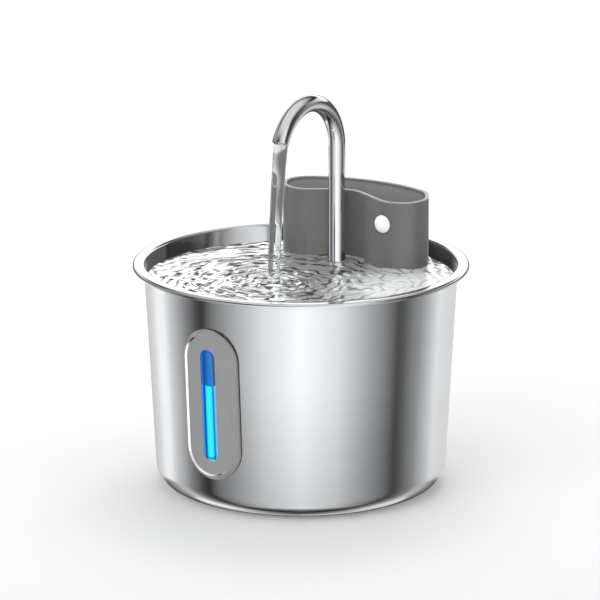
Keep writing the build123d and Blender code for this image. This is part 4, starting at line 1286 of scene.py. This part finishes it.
@dataclass
class Water(Assembly):
    """Rippled water surface and the stream that falls into it.

    The waves' numbers are millimetres. A source is its place, the height and length of its waves
    and how far they reach; the bends turn its rings uneven, and the fading makes them come and
    go. The crown round the landing is its height, radius and width. Dip and climbs are a height
    and a reach. Lapping along the housing is its height, reach, share of the bends and length.
    The stream starts inside the outlet and ends below the surface by its overlap.
    """

    level: float = 125.2 * MM
    film: float = 2.2 * MM
    ring_count: int = 150
    segments: int = 320
    sources: tuple[tuple[float, ...], ...] = (
        (-16.2, -9.2, 0.66, 6.8, 60), (21.5, 48.0, 0.40, 5.2, 26), (-128, -40, 0.06, 9.0, 400),
        (40, -150, 0.12, 10.0, 400), (150, 30, 0.10, 8.0, 400), (-60, 140, 0.12, 11.0, 400))
    wide_bend: Patch = (6.0, 24, 19, 3.1)
    short_bend: Patch = (2.4, 9, 7, 8.4)
    even_share: float = 0.75
    fading: Patch = (0.9, 15, 12, 5.5)
    swell: Patch = (0.45, 20, 14, 7.7)
    chop: Patch = (0.85, 5.5, 5, 1.3)
    chop_centre: Vector = Vector((2, -8))
    chop_reach: float = 44
    crown: Triple = (1.0, 5.4, 1.5)
    dip: Pair = (0.6, 3.6)
    lapping: tuple[float, ...] = (0.20, 16, 0.6, 6.5)
    wall_climb: Pair = (0.7, 1.4)
    housing_climb: Pair = (0.9, 1.3)
    stream_rings: int = 60
    stream_points: int = 40
    stream_radius: float = 4.15 * MM
    stream_swell: float = 0.45 * MM
    stream_narrowing: float = 1.0 * MM
    stream_waver: Pair = (0.05 * MM, 23)
    stream_bend: float = 1.6
    stream_tip: float = 1 * MM
    swell_rings: int = 4
    overlap: Pair = (2 * MM, 3 * MM)
    sharp: float = math.radians(80)

    def patch(self, spot: Vector, kind: Patch) -> float:
        """Gives the height of a patch of slow noise at a place.

        Args:
            spot: Place in millimetres.
            kind: Height, width, depth and layer of the patch.

        Returns:
            Height in millimetres.
        """
        height, across, along, layer = kind
        return height * noise.noise(Vector((spot.x / across, spot.y / along, layer)))

    def wave_height(self, x: float, y: float, edge: float, housing: float) -> float:
        """Height of the surface above its level.

        Args:
            x: Place along X.
            y: Place along Y.
            edge: Distance from the bowl's wall.
            housing: Distance from the filter housing.

        Returns:
            Height in metres.
        """
        spot = Vector((x / MM, y / MM))
        edge /= MM
        housing /= MM
        bend = self.patch(spot, self.wide_bend) + self.patch(spot, self.short_bend)
        height = 0.0
        for centre_x, centre_y, swell, length, reach in self.sources:
            far = math.hypot(spot.x - centre_x, spot.y - centre_y)
            height += swell * math.exp(-far / reach) * math.sin(math.tau * (far + bend) / length)
        height *= self.even_share + self.patch(spot, self.fading)
        height += self.patch(spot, self.swell)
        far = (spot - self.chop_centre).length
        height += math.exp(-far / self.chop_reach) * self.patch(spot, self.chop)
        far = (spot - LANDING.xy / MM).length
        rise, radius, width = self.crown
        height += rise * math.exp(-((far - radius) / width) ** 2)
        height -= self.dip[0] * math.exp(-(far / self.dip[1]) ** 2)
        rise, reach, share, length = self.lapping
        height += rise * math.exp(-housing / reach) * math.sin(math.tau * (housing + share * bend) / length)
        for (rise, reach), gap in ((self.wall_climb, edge), (self.housing_climb, housing)):
            height += rise * math.exp(-gap / reach)
        return height * MM

    def build_surface(self) -> None:
        """Builds the surface as a closed film with waves on top."""
        radius = Bowl().wall_radius(self.level) - Bowl().sheet
        top = Vector((0, 0, self.level))
        under = Vector((0, 0, self.level - self.film))
        rings = [(radius * step / self.ring_count, top) for step in range(self.ring_count + 1)]
        surface = stacked_rings("water_surface", rings + [(radius, under), (0.0, under)], self.segments)
        shell = frame["nodes"]["housing_shell"].data
        walls = BVHTree.FromPolygons([vertex.co for vertex in shell.vertices],
                                     [polygon.vertices for polygon in shell.polygons])
        for vertex in surface.data.vertices:
            if vertex.co.z > self.level - self.film / 2:
                far = min(math.hypot(vertex.co.x, vertex.co.y), radius)
                housing = walls.find_nearest(vertex.co)[3]
                vertex.co.z = self.level + self.wave_height(vertex.co.x, vertex.co.y, radius - far, housing)
        settle(surface, self.sharp)
        surface.visible_glossy = False
        carried_by(surface, "bowl_unit", POOL_WATER)

    def build_stream(self) -> None:
        """Builds the falling stream, which narrows and wavers as it falls."""
        start, flow = Faucet().outlet()
        start = start - flow * self.overlap[0]
        drop = start.z - LANDING.z + self.overlap[1]
        rings = []
        for step in range(self.stream_rings + 1):
            share = step / self.stream_rings
            level = start.lerp(LANDING, 1 - (1 - share) ** self.stream_bend)
            swell = min(1.0, share * self.stream_rings / self.swell_rings)
            radius = (self.stream_radius + swell * self.stream_swell
                      - self.stream_narrowing * math.sqrt(share)
                      + self.stream_waver[0] * math.sin(self.stream_waver[1] * share))
            rings.append((radius, Vector((level.x, level.y, start.z - drop * share))))
        rings = [(0.0, rings[0][1])] + rings + [(0.0, rings[-1][1] - Vector((0, 0, self.stream_tip)))]
        stream = stacked_rings("water_stream", rings, self.stream_points)
        settle(stream, self.sharp)
        carried_by(stream, "faucet", STREAM_WATER)

    def build(self) -> None:
        """Builds the surface and the stream."""
        self.build_surface()
        self.build_stream()


# ---------------------------------------------------------------- the studio
@dataclass
class Studio:
    """Camera, soft light and a pale floor.

    The surroundings are seen in mirrors only. Their levels are given by azimuth, 0 in front, as
    (degrees, level): low and high for the walls, foot for what lies below, and back for the part
    of the circle that the bands cover. Heights are the sine of the angle above the horizon: a
    band is its middle, half its width and its blur, and a range is where it starts and ends.
    """

    elevation: float = math.radians(14.96)
    distance: float = 3.402
    target: Vector = Vector((0.0, 0.0, 0.1126))
    lens: float = 343.0
    shift: float = -0.00165
    clip_end: float = 50.0
    even_front: float = 0.84
    even_sides: float = 0.7
    even_back: float = 0.42
    low_levels: Levels = (
        (-180, .5), (-149, 1.0), (-137, 1.45), (-127, 1.5), (-118, 1.0), (-104, .54), (-95, .30),
        (-87, .12), (-80, .05), (-72, .29), (-63, .48), (-55, .64), (-38, 1.02), (-30, 1.24), (0, 1.73),
        (30, 1.29), (38, 1.04), (55, .62), (63, .47), (72, .29), (80, .10), (87, .18), (95, .35),
        (104, .48), (118, .92), (127, 1.24), (137, 1.12), (149, 1.0), (180, .69))
    high_levels: Levels = (
        (-180, 1.6), (-158, 1.3), (-145, 1.0), (-125, .67), (-108, .48), (-77, .5), (-60, .2),
        (-49, .06), (-36, .06), (-20, .35), (0, .9), (15, 1.1), (34, 1.34), (49, 1.15), (56, .5),
        (62, .12), (70, .055), (78, .065), (88, .14), (100, .2), (109, .55), (118, .85), (131, 1.4),
        (150, 1.6), (180, 1.6))
    foot_levels: Levels = (
        (-180, .06), (-163, .10), (-140, .4), (-118, 0.9), (0, 1.0), (118, 0.9), (140, .4), (163, .10),
        (180, .06))
    back_levels: Levels = (
        (-180, 1), (-118, 1), (-102, 0), (102, 0), (118, 1), (180, 1))
    low_to_high: Pair = (-0.1, 0.06)
    foot_band: Triple = (-0.55, 0.15, 0.03)
    dark_band: Triple = (-0.055, 0.18, 0.015)
    dark_level: float = 0.14
    nadir: Pair = (-0.86, -0.985)
    nadir_share: float = 0.9
    strip: Pair = (0.37, 0.45)
    strip_level: float = 0.07
    zenith: Pair = (0.56, 0.86)
    zenith_level: float = 1.1
    lamps: tuple[tuple[Triple, float, float], ...] = (
        ((0.15, 1.05, 1.85), 1.3, 14.5), ((-1.55, -2.3, 0.95), 2.8, 39.0))
    floor_size: float = 14.0
    floor_lift: float = 0.02
    floor_pale: float = 0.9
    painted_shade_floor_front: float = 0.79
    painted_shade_floor_span: Pair = (-30 * MM, -300 * MM)
    foot_edge: Pair = (84 * MM, 94 * MM)
    painted_shadow_reach: Pair = (250 * MM, 90 * MM)
    painted_shadow_depth: float = -0.36
    front_reach: float = -110 * MM
    painted_shadow_behind: float = 0.1

    def build(self) -> None:
        """Builds the camera, the surroundings, the lamps and the floor."""
        self.build_camera()
        self.build_world()
        self.build_lamps()
        self.build_floor()

    def build_camera(self) -> None:
        """Places the camera at a low angle in front, with a long lens."""
        deselect()
        back = Vector((0, -math.cos(self.elevation), math.sin(self.elevation))) * self.distance
        bpy.ops.object.camera_add(location=self.target + back,
                                  rotation=(math.pi / 2 - self.elevation, 0, 0))
        camera = bpy.context.object
        camera.data.lens = self.lens
        camera.data.shift_x = self.shift
        camera.data.clip_end = self.clip_end
        bpy.context.scene.camera = camera

    def stops(self, levels: Levels) -> list[tuple[float, Colour]]:
        """Turns light levels by azimuth into the stops of a colour ramp."""
        return [((azimuth + 180) / 360, grey(level)) for azimuth, level in levels]

    def between(self, tree: NodeTree, height: NodeSocket, band: Triple) -> Node:
        """Finds where a height lies in a level band.

        Args:
            tree: Node tree of the world.
            height: Socket that gives the height.
            band: Middle of the band, half its width, and how softly it ends.

        Returns:
            Node of 1 in the band and 0 elsewhere.
        """
        middle, reach, blur = band
        lifted = add_node(tree, "Math", {"operation": "SUBTRACT", 0: height, 1: middle})
        away = add_node(tree, "Math", {"operation": "ABSOLUTE", 0: lifted})
        return add_node(tree, "MapRange", {
            "From Min": reach + blur, "From Max": reach - blur, "Value": away})

    def build_world(self) -> None:
        """Surrounds the object with even light; metal and water mirror light and dark walls."""
        world = bpy.data.worlds.new("studio")
        bpy.context.scene.world = world
        world.use_nodes = True
        tree = world.node_tree
        tree.nodes.clear()
        ray = add_node(tree, "TexCoord")
        right, back, up = add_node(tree, "SeparateXYZ", {0: ray.outputs["Generated"]}).outputs
        front = add_node(tree, "Math", {"operation": "MULTIPLY", 0: back, 1: -1.0})
        turn = add_node(tree, "Math", {"operation": "ARCTAN2", 0: right, 1: front})
        turn = add_node(tree, "MapRange", {"From Min": -math.pi, "From Max": math.pi, "Value": turn})
        low, high, foot, behind = (
            add_node(tree, "ValToRGB", {"stops": self.stops(levels), 0: turn})
            for levels in (self.low_levels, self.high_levels, self.foot_levels, self.back_levels))
        light_path = add_node(tree, "LightPath")
        glossy = light_path.outputs["Is Glossy Ray"]
        behind = add_node(tree, "Math", {"operation": "MULTIPLY", 0: behind, 1: glossy})
        rise, below, strip, top = (
            add_node(tree, "MapRange", {"From Min": start, "From Max": end, "To Max": most, "Value": up})
            for (start, end), most in ((self.low_to_high, 1.0), (self.nadir, self.nadir_share),
                                       (self.strip, 1.0), (self.zenith, 1.0)))
        under, band, strip = (
            add_node(tree, "Math", {"operation": "MULTIPLY", 0: first, 1: second})
            for first, second in ((behind, self.between(tree, up, self.foot_band)),
                                  (behind, self.between(tree, up, self.dark_band)), (strip, behind)))
        mirrored = low
        for share, colour in ((rise, high), (under, foot), (band, grey(self.dark_level)),
                              (below, grey(0.0)), (strip, grey(self.strip_level)),
                              (top, grey(self.zenith_level))):
            mirrored = add_node(tree, "Mix", {0: share, 6: mirrored, 7: colour})
        sharp = add_node(tree, "Math", {
            "operation": "MAXIMUM", 0: glossy, 1: light_path.outputs["Is Transmission Ray"]})
        even = add_node(tree, "MapRange", {
            "From Min": -1.0, "From Max": 1.0, "To Min": self.even_front, "To Max": self.even_back,
            "Value": back})
        side = add_node(tree, "Math", {"operation": "MULTIPLY", 0: right, 1: right})
        soft = add_node(tree, "Math", {"operation": "MULTIPLY_ADD", 0: side, 1: self.even_sides, 2: even})
        level = add_node(tree, "Mix", {0: sharp, 6: soft, 7: mirrored})
        seen = add_node(tree, "Mix", {
            0: light_path.outputs["Is Camera Ray"], 6: level, 7: grey(1.0)})
        background = add_node(tree, "Background", {"Color": seen})
        add_node(tree, "OutputWorld", {"Surface": background})

    def build_lamps(self) -> None:
        """Adds a soft lamp above and behind and a wide one in front, as place, size and watts."""
        for place, size, energy in self.lamps:
            deselect()
            bpy.ops.object.light_add(type="AREA", location=place)
            lamp = bpy.context.object
            lamp.data.size = size
            lamp.data.energy = energy
            lamp.rotation_euler = (self.target - lamp.location).to_track_quat("-Z", "Y").to_euler()
            lamp.visible_glossy = False

    def build_floor(self) -> None:
        """Lays a pale floor that mirrored rays pass through. A painted shadow darkens the floor as mirrors
        see it near the bowl, mostly in front. Painted shade darkens the floor's colour towards the front.
        The camera's lift of the floor stops at the bowl's foot, which gives a painted contact shadow.
        """
        deselect()
        bpy.ops.mesh.primitive_plane_add(size=self.floor_size)
        floor = bpy.context.object
        floor.name = "studio_floor"
        material = bpy.data.materials.new("pale_floor")
        material.use_nodes = True
        tree = material.node_tree
        tree.nodes.clear()
        place = add_node(tree, "TexCoord").outputs["Object"]
        along = add_node(tree, "SeparateXYZ", {0: place}).outputs["Y"]
        # painted shade: the floor's colour darkens towards the front, standing in for the bowl's wide soft
        # shadow
        pale_with_painted_shade = add_node(tree, "MapRange", {
            "From Min": self.painted_shade_floor_span[0], "From Max": self.painted_shade_floor_span[1], "To Min": self.floor_pale,
            "To Max": self.painted_shade_floor_front, "Value": along})
        paint = add_node(tree, "BsdfDiffuse", {"Color": pale_with_painted_shade})
        light_path = add_node(tree, "LightPath")
        lift = add_node(tree, "Math", {
            "operation": "MULTIPLY", 0: light_path.outputs["Is Camera Ray"], 1: self.floor_lift})
        far = add_node(tree, "VectorMath", {"operation": "LENGTH", 0: place})
        clear_of_foot = add_node(tree, "MapRange", {
            "From Min": self.foot_edge[0], "From Max": self.foot_edge[1], "Value": far})
        # painted shadow: near the bowl, and mostly in front of it, the floor passes less light to mirrored
        # rays. This stands in for the bowl's shadow on the floor, as the steel mirrors it.
        near = add_node(tree, "MapRange", {
            "From Min": self.painted_shadow_reach[0], "From Max": self.painted_shadow_reach[1], "To Max": self.painted_shadow_depth,
            "Value": far})
        in_front = add_node(tree, "MapRange", {
            "From Max": self.front_reach, "To Min": self.painted_shadow_behind, "Value": along})
        reflected_painted_shadow = add_node(tree, "Math", {"operation": "MULTIPLY", 0: near, 1: in_front})
        passed = add_node(tree, "Math", {"operation": "MULTIPLY_ADD", 0: reflected_painted_shadow, 1: clear_of_foot, 2: 1.0})
        clear = add_node(tree, "BsdfTransparent", {"Color": passed})
        # painted contact shadow: the camera's lift of the floor stops at the bowl's foot, so the floor is
        # darker there
        lifted_by = add_node(tree, "Math", {"operation": "MULTIPLY", 0: lift, 1: clear_of_foot})
        white = add_node(tree, "Emission", {"Strength": lifted_by})
        lifted = add_node(tree, "AddShader", {0: paint, 1: white})
        mixed = add_node(tree, "MixShader", {0: light_path.outputs["Is Glossy Ray"], 1: lifted, 2: clear})
        add_node(tree, "OutputMaterial", {"Surface": mixed})
        floor.data.materials.append(material)


def corners(box: tuple[Vector, Vector]) -> list[list[float]]:
    """Returns a box's two corners as plain lists."""
    return [list(corner) for corner in box]


def main() -> None:
    """Builds and dresses the fountain."""
    logging.basicConfig(level=logging.INFO, format="%(name)s: %(message)s")
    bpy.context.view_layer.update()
    bpy.context.scene.view_settings.view_transform = "Standard"
    Studio().build()
    for assembly in (Bowl(), SightWindow(), Housing(), LightButton(), Faucet(), PumpBase(), Cartridge(),
                     Pump(), Water()):
        assembly.build()
        assembly.dress()
    deselect()


if __name__ == "__main__":
    main()
